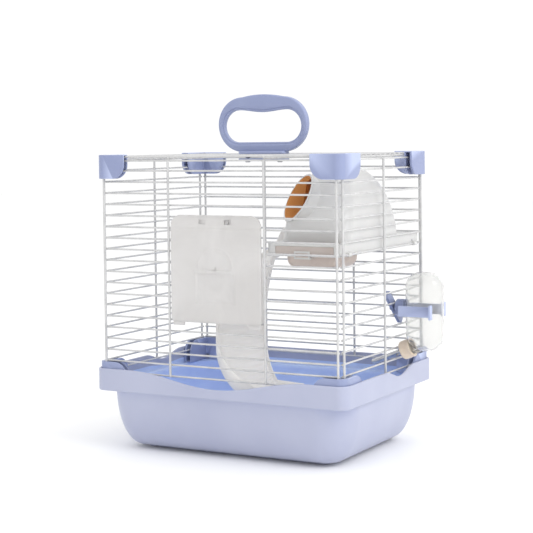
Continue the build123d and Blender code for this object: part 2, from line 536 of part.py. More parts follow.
def bottle_cap():
    """Ribbed screw cap with a hole for the sipper tube."""
    cap = extrude(neck_plane(CAP_GAP) * Circle(CAP_R), CAP_L + CAP_END)
    cap -= extrude(neck_plane(CAP_GAP - 1) * Circle(NECK_R + CAP_FIT), NECK_L + 1)
    cap -= extrude(neck_plane(0) * Circle(TUBE_R + 0.05), 3 * CAP_L)
    groove = Cylinder(0.5, CAP_L - 2)
    middle = neck_plane(CAP_GAP + CAP_L / 2).location
    grooves = [middle * spot * groove for spot in PolarLocations(CAP_R, CAP_GROOVES)]
    return cap - grooves


def sipper_tube():
    """Straight metal tube, turned in at the tip to hold the ball."""
    tube = extrude(neck_plane(NECK_L + TUBE_START) * Circle(TUBE_R), TUBE_END - NECK_L - TUBE_START)
    tube -= extrude(neck_plane(0) * Circle(TUBE_BORE_R), TUBE_END - BALL_R * 0.8)
    return tube - extrude(neck_plane(0) * Circle(TUBE_LIP_R), TUBE_END + 1)


def sipper_ball():
    """Ball that closes the tube."""
    seat = TUBE_END - BALL_R * 0.8 - math.sqrt(BALL_R ** 2 - TUBE_LIP_R ** 2) - 0.05
    return Location(neck_plane(seat).origin) * Sphere(BALL_R)


def bottle_holder():
    """Open clip for the bottle with a boss for the clamp screw."""
    inner_half = BOTTLE_D / 2 + HOLDER_GAP
    outer_half = inner_half + HOLDER_ARM_T
    back_x = HOLDER_FACE_X - HOLDER_ARM_T
    holder = block(back_x, HOLDER_FACE_X, BOTTLE_Y - outer_half, BOTTLE_Y + outer_half, *HOLDER_Z)
    holder += block(HOLDER_BACK_X, back_x, BOTTLE_Y - HOLDER_NECK_HALF, BOTTLE_Y + HOLDER_NECK_HALF, *HOLDER_Z)
    for side in (-1, 1):
        y0, y1 = sorted((BOTTLE_Y + side * inner_half, BOTTLE_Y + side * outer_half))
        holder += block(HOLDER_FACE_X, ARM_END_X, y0, y1, *HOLDER_Z)
        f0, f1 = sorted((BOTTLE_Y + side * inner_half, BOTTLE_Y + side * (outer_half + FLANGE_OUT)))
        holder += block(ARM_END_X, ARM_END_X + FLANGE_T, f0, f1, *FLANGE_Z)
    holder += rod((HOLDER_BACK_X, BOTTLE_Y, CLAMP_Z), (BOSS_END_X, BOTTLE_Y, CLAMP_Z), BOSS_R)
    return holder - rod((HOLDER_BACK_X - 1, BOTTLE_Y, CLAMP_Z), (BOSS_END_X - 2, BOTTLE_Y, CLAMP_Z),
                        CLAMP_SCREW_R + 0.05)


def clamp_wing():
    """Locking wing on the inner side of the wires."""
    outline = SlotCenterToCenter(2 * WING_HALF - WING_W, WING_W) - Circle(CLAMP_SCREW_R + CLAMP_FIT)
    plane = Plane(origin=(WING_X[0], BOTTLE_Y, CLAMP_Z), x_dir=(0, 1, 0), z_dir=(1, 0, 0))
    return extrude(plane * Rot(0, 0, -WING_TILT) * outline, WING_X[1] - WING_X[0])


def clamp_screw():
    """Screw that joins the wing to the holder."""
    screw = rod((CLAMP_HEAD_X, BOTTLE_Y, CLAMP_Z), (BOSS_END_X - 2.2, BOTTLE_Y, CLAMP_Z), CLAMP_SCREW_R)
    head_end = WING_X[0] - 0.3
    screw += rod((CLAMP_HEAD_X, BOTTLE_Y, CLAMP_Z), (head_end, BOTTLE_Y, CLAMP_Z), CLAMP_HEAD_R)
    return screw


parts = {
    "tray": tray(),
    "front_panel": front_panel(-1, True),
    "back_panel": front_panel(1, False),
    "left_panel": side_panel(-1),
    "right_panel": side_panel(1),
    "top_panel": top_panel(),
    "handle": handle(),
    "handle_clip_plate": handle_clip_plate(),
    "handle_screws": handle_screws(),
    "door": door(),
    "platform": platform(),
    "food_bowl": food_bowl(),
    "hut": hut(),
    "slide": slide(),
    "bottle": bottle(),
    "bottle_cap": bottle_cap(),
    "sipper_tube": sipper_tube(),
    "sipper_ball": sipper_ball(),
    "bottle_holder": bottle_holder(),
    "clamp_wing": clamp_wing(),
    "clamp_screw": clamp_screw(),
}

bracket = corner_bracket()
for level, is_top in (("top", True), ("bottom", False)):
    for depth, side_y in (("front", -1), ("back", 1)):
        for hand, side_x in (("left", -1), ("right", 1)):
            parts[f"{level}_bracket_{depth}_{hand}"] = place_bracket(bracket, side_x, side_y, is_top)

for name, shape in parts.items():
    export_step(shape, f"parts/{name}.step")
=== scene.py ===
import json
import math

import bmesh
import bpy
from mathutils import Matrix, Vector


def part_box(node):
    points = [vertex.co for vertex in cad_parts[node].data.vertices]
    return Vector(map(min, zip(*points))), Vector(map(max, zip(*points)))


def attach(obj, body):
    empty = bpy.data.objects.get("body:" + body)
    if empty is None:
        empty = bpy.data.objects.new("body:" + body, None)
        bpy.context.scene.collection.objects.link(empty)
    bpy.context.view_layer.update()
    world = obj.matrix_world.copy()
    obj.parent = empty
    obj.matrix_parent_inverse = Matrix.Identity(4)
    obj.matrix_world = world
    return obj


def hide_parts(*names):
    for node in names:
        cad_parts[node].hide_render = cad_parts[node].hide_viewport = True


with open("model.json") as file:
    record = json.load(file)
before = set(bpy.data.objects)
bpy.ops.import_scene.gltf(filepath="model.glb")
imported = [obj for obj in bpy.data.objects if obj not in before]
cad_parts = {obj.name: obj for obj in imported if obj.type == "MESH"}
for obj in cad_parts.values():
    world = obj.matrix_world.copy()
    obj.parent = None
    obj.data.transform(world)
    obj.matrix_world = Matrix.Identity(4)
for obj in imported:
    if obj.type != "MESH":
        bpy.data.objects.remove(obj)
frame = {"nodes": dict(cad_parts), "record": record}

# Visual model of the hamster cage. Lengths are in millimetres until a mesh is made.
MM = 0.001
RECORD = frame["record"]
BODY_OF = {n: body for body, nodes in RECORD["behaviour"]["bodies"].items() for n in nodes}
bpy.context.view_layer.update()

TRAY_HIGH, DOOR_HIGH, HANDLE_HIGH = (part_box(node)[1] / MM for node in ("tray", "door", "handle"))


# ---------------------------------------------------------------- materials

class Nodes:
    """Small helper for building a node tree."""

    def __init__(self, name):
        self.material = bpy.data.materials.new(name)
        self.material.use_nodes = True
        self.tree = self.material.node_tree
        self.shader = self.tree.nodes["Principled BSDF"]
        self.coords = self.add("ShaderNodeTexCoord").outputs["Object"]

    def add(self, kind, **values):
        node = self.tree.nodes.new(kind)
        for key, value in values.items():
            setattr(node, key, value)
        return node

    def link(self, a, b):
        self.tree.links.new(a, b)

    def noise(self, scale, detail=2.0, roughness=0.5, stretch=None, distortion=0.0):
        """Noise over the object; scale is in features per metre."""
        node = self.add("ShaderNodeTexNoise")
        node.inputs["Scale"].default_value = scale
        node.inputs["Detail"].default_value = detail
        node.inputs["Roughness"].default_value = roughness
        node.inputs["Distortion"].default_value = distortion
        vector = self.coords
        if stretch:
            mapping = self.add("ShaderNodeMapping")
            mapping.inputs["Scale"].default_value = stretch
            self.link(vector, mapping.inputs["Vector"])
            vector = mapping.outputs["Vector"]
        self.link(vector, node.inputs["Vector"])
        return node.outputs["Fac"]

    def ramp(self, fac, stops):
        """Colour ramp; stops are (position, value or colour)."""
        node = self.add("ShaderNodeValToRGB")
        ramp = node.color_ramp
        while len(ramp.elements) < len(stops):
            ramp.elements.new(0.5)
        for element, (position, value) in zip(ramp.elements, stops):
            element.position = position
            colour = value if isinstance(value, tuple) else (value, value, value)
            element.color = (*colour, 1)
        self.link(fac, node.inputs["Fac"])
        return node.outputs["Color"]

    def mix(self, fac, a, b, mode="MIX"):
        """Mix two colours; each is a socket or a colour."""
        node = self.add("ShaderNodeMix", data_type="RGBA", blend_type=mode)
        for socket, value in ((node.inputs["Factor"], fac), (node.inputs["A"], a), (node.inputs["B"], b)):
            if isinstance(value, bpy.types.NodeSocket):
                self.link(value, socket)
            elif isinstance(value, tuple):
                socket.default_value = (*value, 1)
            else:
                socket.default_value = value
        return node.outputs["Result"]

    def edges(self, low, high):
        """Mask that is 1 on convex edges, where a highlight is painted."""
        pointiness = self.add("ShaderNodeNewGeometry").outputs["Pointiness"]
        return self.ramp(pointiness, [(low, 0.0), (high, 1.0)])

    def bump(self, *layers):
        """Stack of (height socket, strength, distance in mm)."""
        normal = None
        for height, strength, distance in layers:
            node = self.add("ShaderNodeBump")
            node.inputs["Strength"].default_value = strength
            node.inputs["Distance"].default_value = distance * MM
            self.link(height, node.inputs["Height"])
            if normal is not None:
                self.link(normal, node.inputs["Normal"])
            normal = node.outputs["Normal"]
        self.link(normal, self.shader.inputs["Normal"])

    def set(self, **values):
        for key, value in values.items():
            socket = self.shader.inputs[key.replace("_", " ")]
            if isinstance(value, bpy.types.NodeSocket):
                self.link(value, socket)
            elif isinstance(value, tuple) and len(value) == 3 and len(socket.default_value) == 4:
                socket.default_value = (*value, 1)
            else:
                socket.default_value = value


def moulded(name, colour, tint, roughness, grain=0.25, soft=0.0, edge_highlight_colour=None):
    """Injection-moulded plastic: clouded colour, fine grain, faint flow waves, and a painted highlight on
    convex edges.
    """
    n = Nodes(name)
    cloud = n.ramp(n.noise(14, 4, 0.55), [(0.35, 0.0), (0.68, 1.0)])
    base = n.mix(cloud, colour, tint)
    flow = n.noise(26, 2, 0.4, stretch=(1.0, 1.0, 0.25), distortion=0.6)
    base = n.mix(n.ramp(flow, [(0.4, 0.0), (0.72, 0.25)]), base, tint)
    # Painted highlight: convex edges get a lighter colour.
    if edge_highlight_colour:
        base = n.mix(n.edges(0.53, 0.62), base, edge_highlight_colour)
    fine = n.noise(2600, 2, 0.6)
    scuff = n.noise(90, 6, 0.7, stretch=(1.0, 1.0, 4.0))
    n.set(Base_Color=base, IOR=1.49,
          Roughness=n.ramp(scuff, [(0.3, roughness * 0.94), (0.75, roughness * 1.1)]))
    if soft:
        n.set(Subsurface_Weight=soft, Subsurface_Radius=(1.0, 0.95, 0.9), Subsurface_Scale=0.004)
    n.bump((flow, 0.08, 0.3), (fine, grain, 0.04))
    return n.material


def coated_wire():
    """White plastic-dipped wire: glossy, slightly uneven coat with faint greying."""
    n = Nodes("White_dipped_wire")
    uneven = n.noise(420, 3, 0.6)
    grey = n.ramp(n.noise(60, 5, 0.6), [(0.42, 0.0), (0.75, 1.0)])
    base = n.mix(grey, (0.60, 0.60, 0.60), (0.46, 0.46, 0.47))
    n.set(Base_Color=base, Roughness=n.ramp(uneven, [(0.3, 0.18), (0.8, 0.34)]), Coat_Weight=0.35,
          Coat_Roughness=0.12)
    n.bump((uneven, 0.35, 0.12))
    return n.material


def milky(name, colour, tint, roughness=0.36, clear=0.25):
    """Milky translucent sheet: light glows through it, with flow marks from the mould."""
    n = Nodes(name)
    cloud = n.ramp(n.noise(20, 4, 0.6, distortion=0.8), [(0.35, 0.0), (0.7, 1.0)])
    fine = n.noise(2200, 2, 0.6)
    flow = n.noise(30, 3, 0.5, stretch=(1.0, 1.0, 0.3), distortion=1.2)
    n.set(Base_Color=n.mix(cloud, colour, tint),
          Roughness=n.ramp(flow, [(0.3, roughness * 0.8), (0.7, roughness * 1.2)]),
          Transmission_Weight=clear, IOR=1.45, Subsurface_Weight=0.35, Subsurface_Radius=(1.0, 1.0, 0.95),
          Subsurface_Scale=0.006)
    n.bump((flow, 0.15, 0.4), (fine, 0.2, 0.05))
    return n.material


def clear_bottle():
    """Clear blow-moulded plastic with faint vertical draw lines."""
    n = Nodes("Clear_bottle_plastic")
    lines = n.noise(160, 3, 0.5, stretch=(1.0, 1.0, 0.08))
    haze = n.noise(45, 4, 0.6)
    tone = n.mix(n.ramp(haze, [(0.3, 0.0), (0.8, 1.0)]), (0.985, 0.985, 0.975), (0.955, 0.955, 0.945))
    n.set(Base_Color=tone,
          Roughness=n.ramp(haze, [(0.35, 0.05), (0.8, 0.16)]), Transmission_Weight=0.9, IOR=1.3)
    n.bump((lines, 0.25, 0.25))
    return n.material


def steel(name, colour, roughness):
    """Drawn or plated steel with fine scratches along the piece."""
    n = Nodes(name)
    scratch = n.noise(700, 4, 0.7, stretch=(0.15, 1.0, 1.0))
    tone = n.ramp(n.noise(120, 3, 0.6), [(0.3, tuple(c * 0.85 for c in colour)), (0.75, colour)])
    n.set(Base_Color=tone, Metallic=1.0,
          Roughness=n.ramp(scratch, [(0.3, roughness * 0.7), (0.8, roughness * 1.5)]))
    n.bump((scratch, 0.2, 0.03))
    return n.material


# The edge colours given below are painted highlights along convex edges.
BLUE = moulded("Periwinkle_plastic", (0.265, 0.305, 0.49), (0.30, 0.345, 0.53), 0.33, soft=0.08,
               edge_highlight_colour=(0.46, 0.52, 0.74))
TRAY_BLUE = moulded("Tray_lavender_plastic", (0.41, 0.435, 0.575), (0.45, 0.475, 0.61), 0.3, grain=0.15,
                    soft=0.1, edge_highlight_colour=(0.64, 0.67, 0.80))
WIRE = coated_wire()
MILKY = milky("Milky_flap_plastic", (0.70, 0.685, 0.675), (0.77, 0.755, 0.745))
MILKY_TAN = milky("Smoky_bowl_plastic", (0.68, 0.58, 0.53), (0.76, 0.67, 0.62), clear=0.3)
DECK = milky("Milky_deck_plastic", (0.78, 0.78, 0.77), (0.84, 0.84, 0.83))
WHITE = moulded("White_hut_plastic", (0.62, 0.62, 0.62), (0.68, 0.68, 0.675), 0.3, soft=0.25)
CREAM = moulded("Cream_slide_plastic", (0.76, 0.745, 0.725), (0.82, 0.805, 0.79), 0.38, soft=0.25)
INSIDE = moulded("Warm_hut_interior", (0.78, 0.36, 0.11), (0.86, 0.42, 0.15), 0.6)
# Inside of the tray: the same plastic painted brighter and bluer as painted bounce light from its walls.
TRAY_PAINTED_BOUNCE = moulded("Tray_inner_painted_bounce", (0.50, 0.62, 0.95), (0.56, 0.68, 0.98), 0.3, grain=0.15, soft=0.1)
BEIGE = moulded("Beige_cap_plastic", (0.76, 0.63, 0.50), (0.82, 0.70, 0.58), 0.34, soft=0.2)
CLEAR = clear_bottle()
TUBE = steel("Polished_tube_steel", (0.72, 0.73, 0.74), 0.16)
SCREW = steel("Plated_screw_steel", (0.50, 0.50, 0.52), 0.28)


# ---------------------------------------------------------------- mesh tools

def add_piece(name, mesh, node, materials, replace=True, sharp=38):
    """Puts a mesh in the scene as a piece for a CAD node; with no materials the mesh keeps its own."""
    piece = bpy.data.objects.new(name, mesh)
    bpy.context.scene.collection.objects.link(piece)
    if materials:
        mesh.materials.clear()
        for material in materials if isinstance(materials, list) else [materials]:
            mesh.materials.append(material)
    for polygon in mesh.polygons:
        polygon.use_smooth = True
    mesh.set_sharp_from_angle(angle=math.radians(sharp))
    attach(piece, BODY_OF[node])
    if replace:
        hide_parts(node)
    return piece


def to_mesh(name, vertices, faces):
    """Mesh in metres from millimetre points."""
    mesh = bpy.data.meshes.new(name)
    mesh.from_pydata([Vector(v) * MM for v in vertices], [], faces)
    mesh.validate()
    bm = bmesh.new()
    bm.from_mesh(mesh)
    bmesh.ops.remove_doubles(bm, verts=bm.verts, dist=1e-7)
    bmesh.ops.recalc_face_normals(bm, faces=bm.faces)
    bm.to_mesh(mesh)
    bm.free()
    return mesh


def skin(rings, close_ring=True, close_path=False, caps=True, start=0):
    """Faces that join equal rings of points."""
    count, size = len(rings), len(rings[0])
    faces = []
    for i in range(count if close_path else count - 1):
        j = (i + 1) % count
        for k in range(size if close_ring else size - 1):
            m = (k + 1) % size
            near, far = start + i * size, start + j * size
            faces.append((near + k, near + m, far + m, far + k))
    if caps and not close_path:
        faces.append(tuple(start + k for k in range(size))[::-1])
        faces.append(tuple(start + (count - 1) * size + k for k in range(size)))
    return faces


def loft_piece(name, rings, **options):
    """Mesh skinned over rings of points."""
    return to_mesh(name, [p for ring in rings for p in ring], skin(rings, **options))


def arc(cx, cz, radius, start, end, steps=16):
    """Points of an arc in the plane."""
    points = []
    for i in range(steps + 1):
        a = math.radians(start + (end - start) * i / steps)
        points.append((cx + radius * math.cos(a), cz + radius * math.sin(a)))
    return points


def rounded_rectangle(half_x, half_y, radius, corner_steps=12, side_steps=1):
    """Points anticlockwise round a rounded rectangle, always in the same order."""
    points = []
    corners = ((1, -1, 270), (1, 1, 0), (-1, 1, 90), (-1, -1, 180))
    for index, (sx, sy, start) in enumerate(corners):
        points += arc(sx * (half_x - radius), sy * (half_y - radius), radius, start, start + 90, corner_steps)
        x0, y0 = points[-1]
        sx, sy, start = corners[(index + 1) % 4]
        a = math.radians(start)
        x1, y1 = sx * (half_x - radius) + radius * math.cos(a), sy * (half_y - radius) + radius * math.sin(a)
        for i in range(1, side_steps):
            t = i / side_steps
            points.append((x0 + (x1 - x0) * t, y0 + (y1 - y0) * t))
    return points


def add_loft(name, rings, node, material, **options):
    """Piece skinned over rings of points."""
    return add_piece(name, loft_piece(name, rings), node, material, **options)


class Bundle:
    """Collects many rods and beads into one mesh."""

    def __init__(self):
        self.vertices, self.faces = [], []

    def ring_stack(self, rings):
        start = len(self.vertices)
        self.vertices += [p for ring in rings for p in ring]
        self.faces += skin(rings, start=start)

    def rod(self, a, b, radius, sides=12):
        """Rod with domed ends."""
        a, b = Vector(a), Vector(b)
        axis = (b - a).normalized()
        u = axis.orthogonal().normalized()
        w = axis.cross(u)
        length = (b - a).length
        stations = [(0.0, radius * 0.35), (radius * 0.12, radius * 0.72), (radius * 0.4, radius * 0.93),
                    (radius * 0.8, radius)]
        stations += [(length - d, r) for d, r in reversed(stations)]
        rings = []
        for d, r in stations:
            ring = []
            for k in range(sides):
                t = 2 * math.pi * k / sides
                ring.append(a + axis * d + (u * math.cos(t) + w * math.sin(t)) * r)
            rings.append(ring)
        self.ring_stack(rings)

    def bead(self, centre, radii, sides=10, rows=6):
        """Squashed ball, for a weld."""
        rings = []
        for i in range(rows + 1):
            a = math.pi * (i + 0.25) / (rows + 0.5)
            ring = []
            for k in range(sides):
                t = 2 * math.pi * k / sides
                ring.append((centre[0] + radii[0] * math.sin(a) * math.cos(t),
                             centre[1] + radii[1] * math.sin(a) * math.sin(t),
                             centre[2] + radii[2] * math.cos(a)))
            rings.append(ring)
        self.ring_stack(rings)

    def mesh(self, name):
        return to_mesh(name, self.vertices, self.faces)


def true_normals(mesh, centre=(0, 0), radius=0.0, tolerance=0.05):
    """Faces square to an axis get their own normals; those on an upright cylinder get the cylinder's."""
    normals = [Vector(corner.vector) for corner in mesh.corner_normals]
    for polygon in mesh.polygons:
        places = [mesh.vertices[i].co / MM for i in polygon.vertices]
        spokes = [Vector((p.x - centre[0], p.y - centre[1], 0)) for p in places]
        if max(abs(v) for v in polygon.normal) > 0.9999:
            for loop in polygon.loop_indices:
                normals[loop] = polygon.normal.copy()
        elif all(abs(spoke.length - radius) < tolerance for spoke in spokes):
            for loop, spoke in zip(polygon.loop_indices, spokes):
                normals[loop] = spoke.normalized()
    mesh.normals_split_custom_set(normals)


def rounded_copy(node, name, width, material, segments=3, sharp=38, **cylinder):
    """Copy of a CAD node with its edges rounded over."""
    bm = bmesh.new()
    bm.from_mesh(frame["nodes"][node].data)
    bmesh.ops.remove_doubles(bm, verts=bm.verts, dist=2e-6)
    bmesh.ops.dissolve_limit(bm, angle_limit=math.radians(0.6), verts=bm.verts, edges=bm.edges,
                             use_dissolve_boundaries=False)
    edges = [e for e in bm.edges if len(e.link_faces) == 2 and e.calc_face_angle(0) > math.radians(40)]
    bmesh.ops.bevel(bm, geom=edges, offset=width * MM, offset_type="OFFSET", segments=segments, profile=0.5,
                    affect="EDGES", clamp_overlap=True, harden_normals=False)
    mesh = bpy.data.meshes.new(name)
    bm.to_mesh(mesh)
    bm.free()
    piece = add_piece(name, mesh, node, material, sharp=sharp)
    true_normals(mesh, **cylinder)
    return piece


def plate(name, outlines, thickness, rounding, steps=3):
    """Flat plate in the XZ plane, thickness along Y, with rounded edges; later outlines are holes."""
    curve = bpy.data.curves.new(name, "CURVE")
    curve.dimensions = "2D"
    curve.fill_mode = "BOTH"
    curve.extrude = (thickness / 2 - rounding) * MM
    curve.bevel_depth = rounding * MM
    curve.bevel_resolution = steps
    curve.offset = -rounding * MM
    for outline in outlines:
        spline = curve.splines.new("POLY")
        spline.points.add(len(outline) - 1)
        for point, (x, z) in zip(spline.points, outline):
            point.co = (x * MM, z * MM, 0, 1)
        spline.use_cyclic_u = True
    holder = bpy.data.objects.new(name, curve)
    bpy.context.scene.collection.objects.link(holder)
    bpy.context.view_layer.update()
    evaluated = holder.evaluated_get(bpy.context.evaluated_depsgraph_get())
    mesh = bpy.data.meshes.new_from_object(evaluated)
    bpy.data.objects.remove(holder)
    bpy.data.curves.remove(curve)
    mesh.transform(Matrix.Rotation(math.radians(90), 4, "X"))
    mesh.name = name
    bm = bmesh.new()
    bm.from_mesh(mesh)
    bmesh.ops.remove_doubles(bm, verts=bm.verts, dist=1e-6)
    bmesh.ops.recalc_face_normals(bm, faces=bm.faces)
    bm.to_mesh(mesh)
    bm.free()
    return mesh


def smooth(value, low, high):
    """Smooth step from 0 at low to 1 at high."""
    t = min(max((value - low) / (high - low), 0.0), 1.0)
    return t * t * (3 - 2 * t)


# ---------------------------------------------------------------- tray

RIM_WALL, RIM_CORNER, RIM_BAND, RIM_ROUND = 2.4, 11.5, 24.0, 1.6
BODY_HALF, BODY_CORNER = (144.0, 105.0), 38.0
BODY_INSET, BODY_BOTTOM, LEDGE_Z = 27.0, 3.2, 69.0
FOOT_INSET = 8.0                      # foot ring inside the foot of the walls
FRONT_DIP = (108.0, 13.5)             # half width, depth
SIDE_DIP = (23.0, 37.0, 8.0)          # middle, half width, depth


def rim_drop(x, y):
    """How far the rim's top edge dips at a place on it."""
    half_x, half_y = TRAY_HIGH.x, TRAY_HIGH.y
    drop = 0.0
    if y < -half_y + RIM_CORNER and abs(x) < FRONT_DIP[0]:
        drop = FRONT_DIP[1] * (0.5 + 0.5 * math.cos(math.pi * x / FRONT_DIP[0]))
    if abs(x) > half_x - RIM_CORNER and abs(y - SIDE_DIP[0]) < SIDE_DIP[1]:
        drop = SIDE_DIP[2] * (0.5 + 0.5 * math.cos(math.pi * (y - SIDE_DIP[0]) / SIDE_DIP[1]))
    return drop


def tray_rings():
    """Rings from the foot, up the outside, over the rim and down the inside."""
    rim_x, rim_y = TRAY_HIGH.x, TRAY_HIGH.y
    rim_top, rim_low = TRAY_HIGH.z, TRAY_HIGH.z - RIM_BAND
    bx, by = BODY_HALF
    rows = []                         # half x, half y, corner radius, height, follows the dips (0 to 1)
    foot_x, foot_y = bx - BODY_INSET - FOOT_INSET, by - BODY_INSET - FOOT_INSET
    rows += [(foot_x - 4.5, foot_y - 4.5, 2, BODY_BOTTOM, 0), (foot_x - 4.2, foot_y - 4.2, 2.2, 0.5, 0),
             (foot_x - 3.6, foot_y - 3.6, 2.6, 0, 0), (foot_x + 0.2, foot_y + 0.2, 5, 0, 0),
             (foot_x + 0.8, foot_y + 0.8, 5.6, 0.6, 0), (foot_x + 1, foot_y + 1, 6, BODY_BOTTOM - 0.4, 0)]
    height = rim_low - BODY_BOTTOM
    for i in range(17):
        a = math.radians(90 - 90 * i / 16)
        inset = BODY_INSET * (1 - math.cos(a))
        rows.append((bx - inset, by - inset, BODY_CORNER - inset, rim_low - height * math.sin(a), 0))
    rows += [(bx + 0.3, by + 0.3, BODY_CORNER - 4, rim_low + 0.4, 0),
             (rim_x - 2.2, rim_y - 2.2, 11, rim_low, 0)]
    for i in range(1, 5):
        a = math.radians(90 * i / 4)
        grow = RIM_ROUND * math.sin(a)
        rows.append((rim_x - RIM_ROUND + grow, rim_y - RIM_ROUND + grow, RIM_CORNER - RIM_ROUND + grow,
                     rim_low + RIM_ROUND * (1 - math.cos(a)), 0))
    for share in (0.3, 0.6, 0.85):
        rows.append((rim_x, rim_y, RIM_CORNER, rim_low + share * RIM_BAND, share))
    for i in range(9):
        a = math.radians(180 * i / 8)
        inset = RIM_WALL / 2 * (1 - math.cos(a))
        rows.append((rim_x - inset, rim_y - inset, RIM_CORNER - inset,
                     rim_top - RIM_WALL / 2 * (1 - math.sin(a)), 1))
    inner_x, inner_y = rim_x - RIM_WALL, rim_y - RIM_WALL
    rows += [(inner_x, inner_y, RIM_CORNER - RIM_WALL, LEDGE_Z + 6, 0.3),
             (inner_x, inner_y, RIM_CORNER - RIM_WALL, LEDGE_Z + 0.8, 0),
             (inner_x - 0.7, inner_y - 0.7, RIM_CORNER - RIM_WALL, LEDGE_Z, 0),
             (bx - RIM_WALL + 0.9, by - RIM_WALL + 0.9, BODY_CORNER - 5, LEDGE_Z, 0),
             (bx - RIM_WALL, by - RIM_WALL, BODY_CORNER - RIM_WALL, LEDGE_Z - 0.9, 0)]
    for i in range(17):
        a = math.radians(90 * i / 16)
        inset = (BODY_INSET - RIM_WALL) * (1 - math.cos(a)) + RIM_WALL
        rows.append((bx - inset, by - inset, max(BODY_CORNER - inset, 9),
                     rim_low - (height - RIM_WALL) * math.sin(a), 0))
    rings = []
    for half_x, half_y, radius, z, follow in rows:
        ring = []
        for x, y in rounded_rectangle(half_x, half_y, radius, corner_steps=14, side_steps=48):
            drop = rim_drop(x * rim_x / half_x, y * rim_y / half_y) * follow if follow else 0
            ring.append((x, y, z - drop))
        rings.append(ring)
    return rings


tray_shell = add_loft("Tray_shell", tray_rings(), "tray", [TRAY_BLUE, TRAY_PAINTED_BOUNCE], sharp=60)
# Inner walls and floor of the tray take the material with painted bounce light.
INNER_LOW, INNER_HIGH = BODY_BOTTOM + 1, TRAY_HIGH.z - FRONT_DIP[1] - 1.5
for polygon in tray_shell.data.polygons:
    middle, normal = polygon.center / MM, polygon.normal
    outward = middle.x * normal.x + middle.y * normal.y
    if INNER_LOW < middle.z < INNER_HIGH and (outward < -1 or normal.z > 0.7):
        polygon.material_index = 1


# ---------------------------------------------------------------- wires

WIRE_R, UPRIGHT_R = 1.0, 1.3
WELD_SINK = 0.1                       # weld beads lie this far inside the crossing
ROW_HEIGHTS = [310.6] + [300.0 - 12.0 * k for k in range(19)]
FRONT_UPRIGHTS = (-138.8, -57.2, 57.2, 138.8)
SIDE_UPRIGHTS = (-99.0, 0.0, 99.0)
UPRIGHT_Z = (83.0, 311.0)
FRONT_UPRIGHT_Y, FRONT_ROW_Y, FRONT_ROW_END = 105.0, 102.95, 140.0
SIDE_UPRIGHT_X, SIDE_ROW_X, SIDE_ROW_END = 142.7, 140.65, 100.4
DOOR_ROWS, DOOR_STUB = range(6, 14), 55.0
TOP_CROSS, TOP_EDGE, TOP_COUNT = (-136.0, -57.2, 57.2, 136.0), 104.0, 18
TOP_CROSS_Z, TOP_ROW_Z, TOP_WELD_Z = 313.0, 315.0, 314.05
TOP_END, TOP_INNER_END = 140.0, 137.4


def front_wires(side, with_door):
    """Front or back wire panel with a weld at every crossing."""
    b = Bundle()
    y_up, y_row = side * FRONT_UPRIGHT_Y, side * FRONT_ROW_Y
    for x in FRONT_UPRIGHTS:
        b.rod((x, y_up, UPRIGHT_Z[0]), (x, y_up, UPRIGHT_Z[1]), UPRIGHT_R)
    for row, z in enumerate(ROW_HEIGHTS):
        spans = [(-FRONT_ROW_END, FRONT_ROW_END)]
        if with_door and row in DOOR_ROWS:
            spans = [(-FRONT_ROW_END, -DOOR_STUB), (DOOR_STUB, FRONT_ROW_END)]
        for x0, x1 in spans:
            b.rod((x0, y_row, z), (x1, y_row, z), WIRE_R)
        for x in FRONT_UPRIGHTS:
            b.bead((x, (y_up + y_row) / 2 - side * WELD_SINK, z), (1.5, 1.2, 1.3))
    return b


def side_wires(side):
    """Left or right wire panel."""
    b = Bundle()
    x_up, x_row = side * SIDE_UPRIGHT_X, side * SIDE_ROW_X
    for y in SIDE_UPRIGHTS:
        b.rod((x_up, y, UPRIGHT_Z[0]), (x_up, y, UPRIGHT_Z[1]), UPRIGHT_R)
    for z in ROW_HEIGHTS:
        b.rod((x_row, -SIDE_ROW_END, z), (x_row, SIDE_ROW_END, z), WIRE_R)
        for y in SIDE_UPRIGHTS:
            b.bead(((x_up + x_row) / 2 - side * WELD_SINK, y, z), (1.2, 1.5, 1.3))
    return b


def top_wires():
    """Top wire panel: long wires over four cross wires."""
    b = Bundle()
    for x in TOP_CROSS:
        b.rod((x, -TOP_EDGE, TOP_CROSS_Z), (x, TOP_EDGE, TOP_CROSS_Z), UPRIGHT_R)
    for i in range(TOP_COUNT):
        y = -TOP_EDGE + 2 * TOP_EDGE * i / (TOP_COUNT - 1)
        half = TOP_END if i in (0, TOP_COUNT - 1) else TOP_INNER_END
        b.rod((-half, y, TOP_ROW_Z), (half, y, TOP_ROW_Z), WIRE_R)
        for x in TOP_CROSS:
            b.bead((x, y, TOP_WELD_Z), (1.5, 1.4, 1.1))
    return b


PANELS = {"front_panel": front_wires(-1, True), "back_panel": front_wires(1, False),
          "left_panel": side_wires(-1), "right_panel": side_wires(1), "top_panel": top_wires()}
for node, bundle in PANELS.items():
    add_piece(f"Wires_{node}", bundle.mesh(f"Wires_{node}"), node, WIRE, sharp=70)


# ---------------------------------------------------------------- brackets and handle

BRACKET_HALF, BRACKET_CORNER, BRACKET_ROUND = (147.0, 108.2), 8.8, 0.55

for level in ("top", "bottom"):
    for place in ("front_left", "front_right", "back_left", "back_right"):
        side_x, side_y = 1 if "right" in place else -1, 1 if "back" in place else -1
        corner = (side_x * (BRACKET_HALF[0] - BRACKET_CORNER), side_y * (BRACKET_HALF[1] - BRACKET_CORNER))
        rounded_copy(f"{level}_bracket_{place}", f"Bracket_{level}_{place}", BRACKET_ROUND, BLUE,
                     centre=corner, radius=BRACKET_CORNER)


HANDLE_BASE, HANDLE_CORNER, CROWN_STEPS = 318.3, 30.0, 24
GRIP_HALF, GRIP_CORNER, GRIP_ABOVE, SWELL = 47.4, 17.6, 10.6, 1.3
POST_X, POST_R, POST_Z = 20.0, 3.2, (311.4, 317.0)
FOOT_HALF, FOOT_CORNER = (28.5, 8.5), 4.0


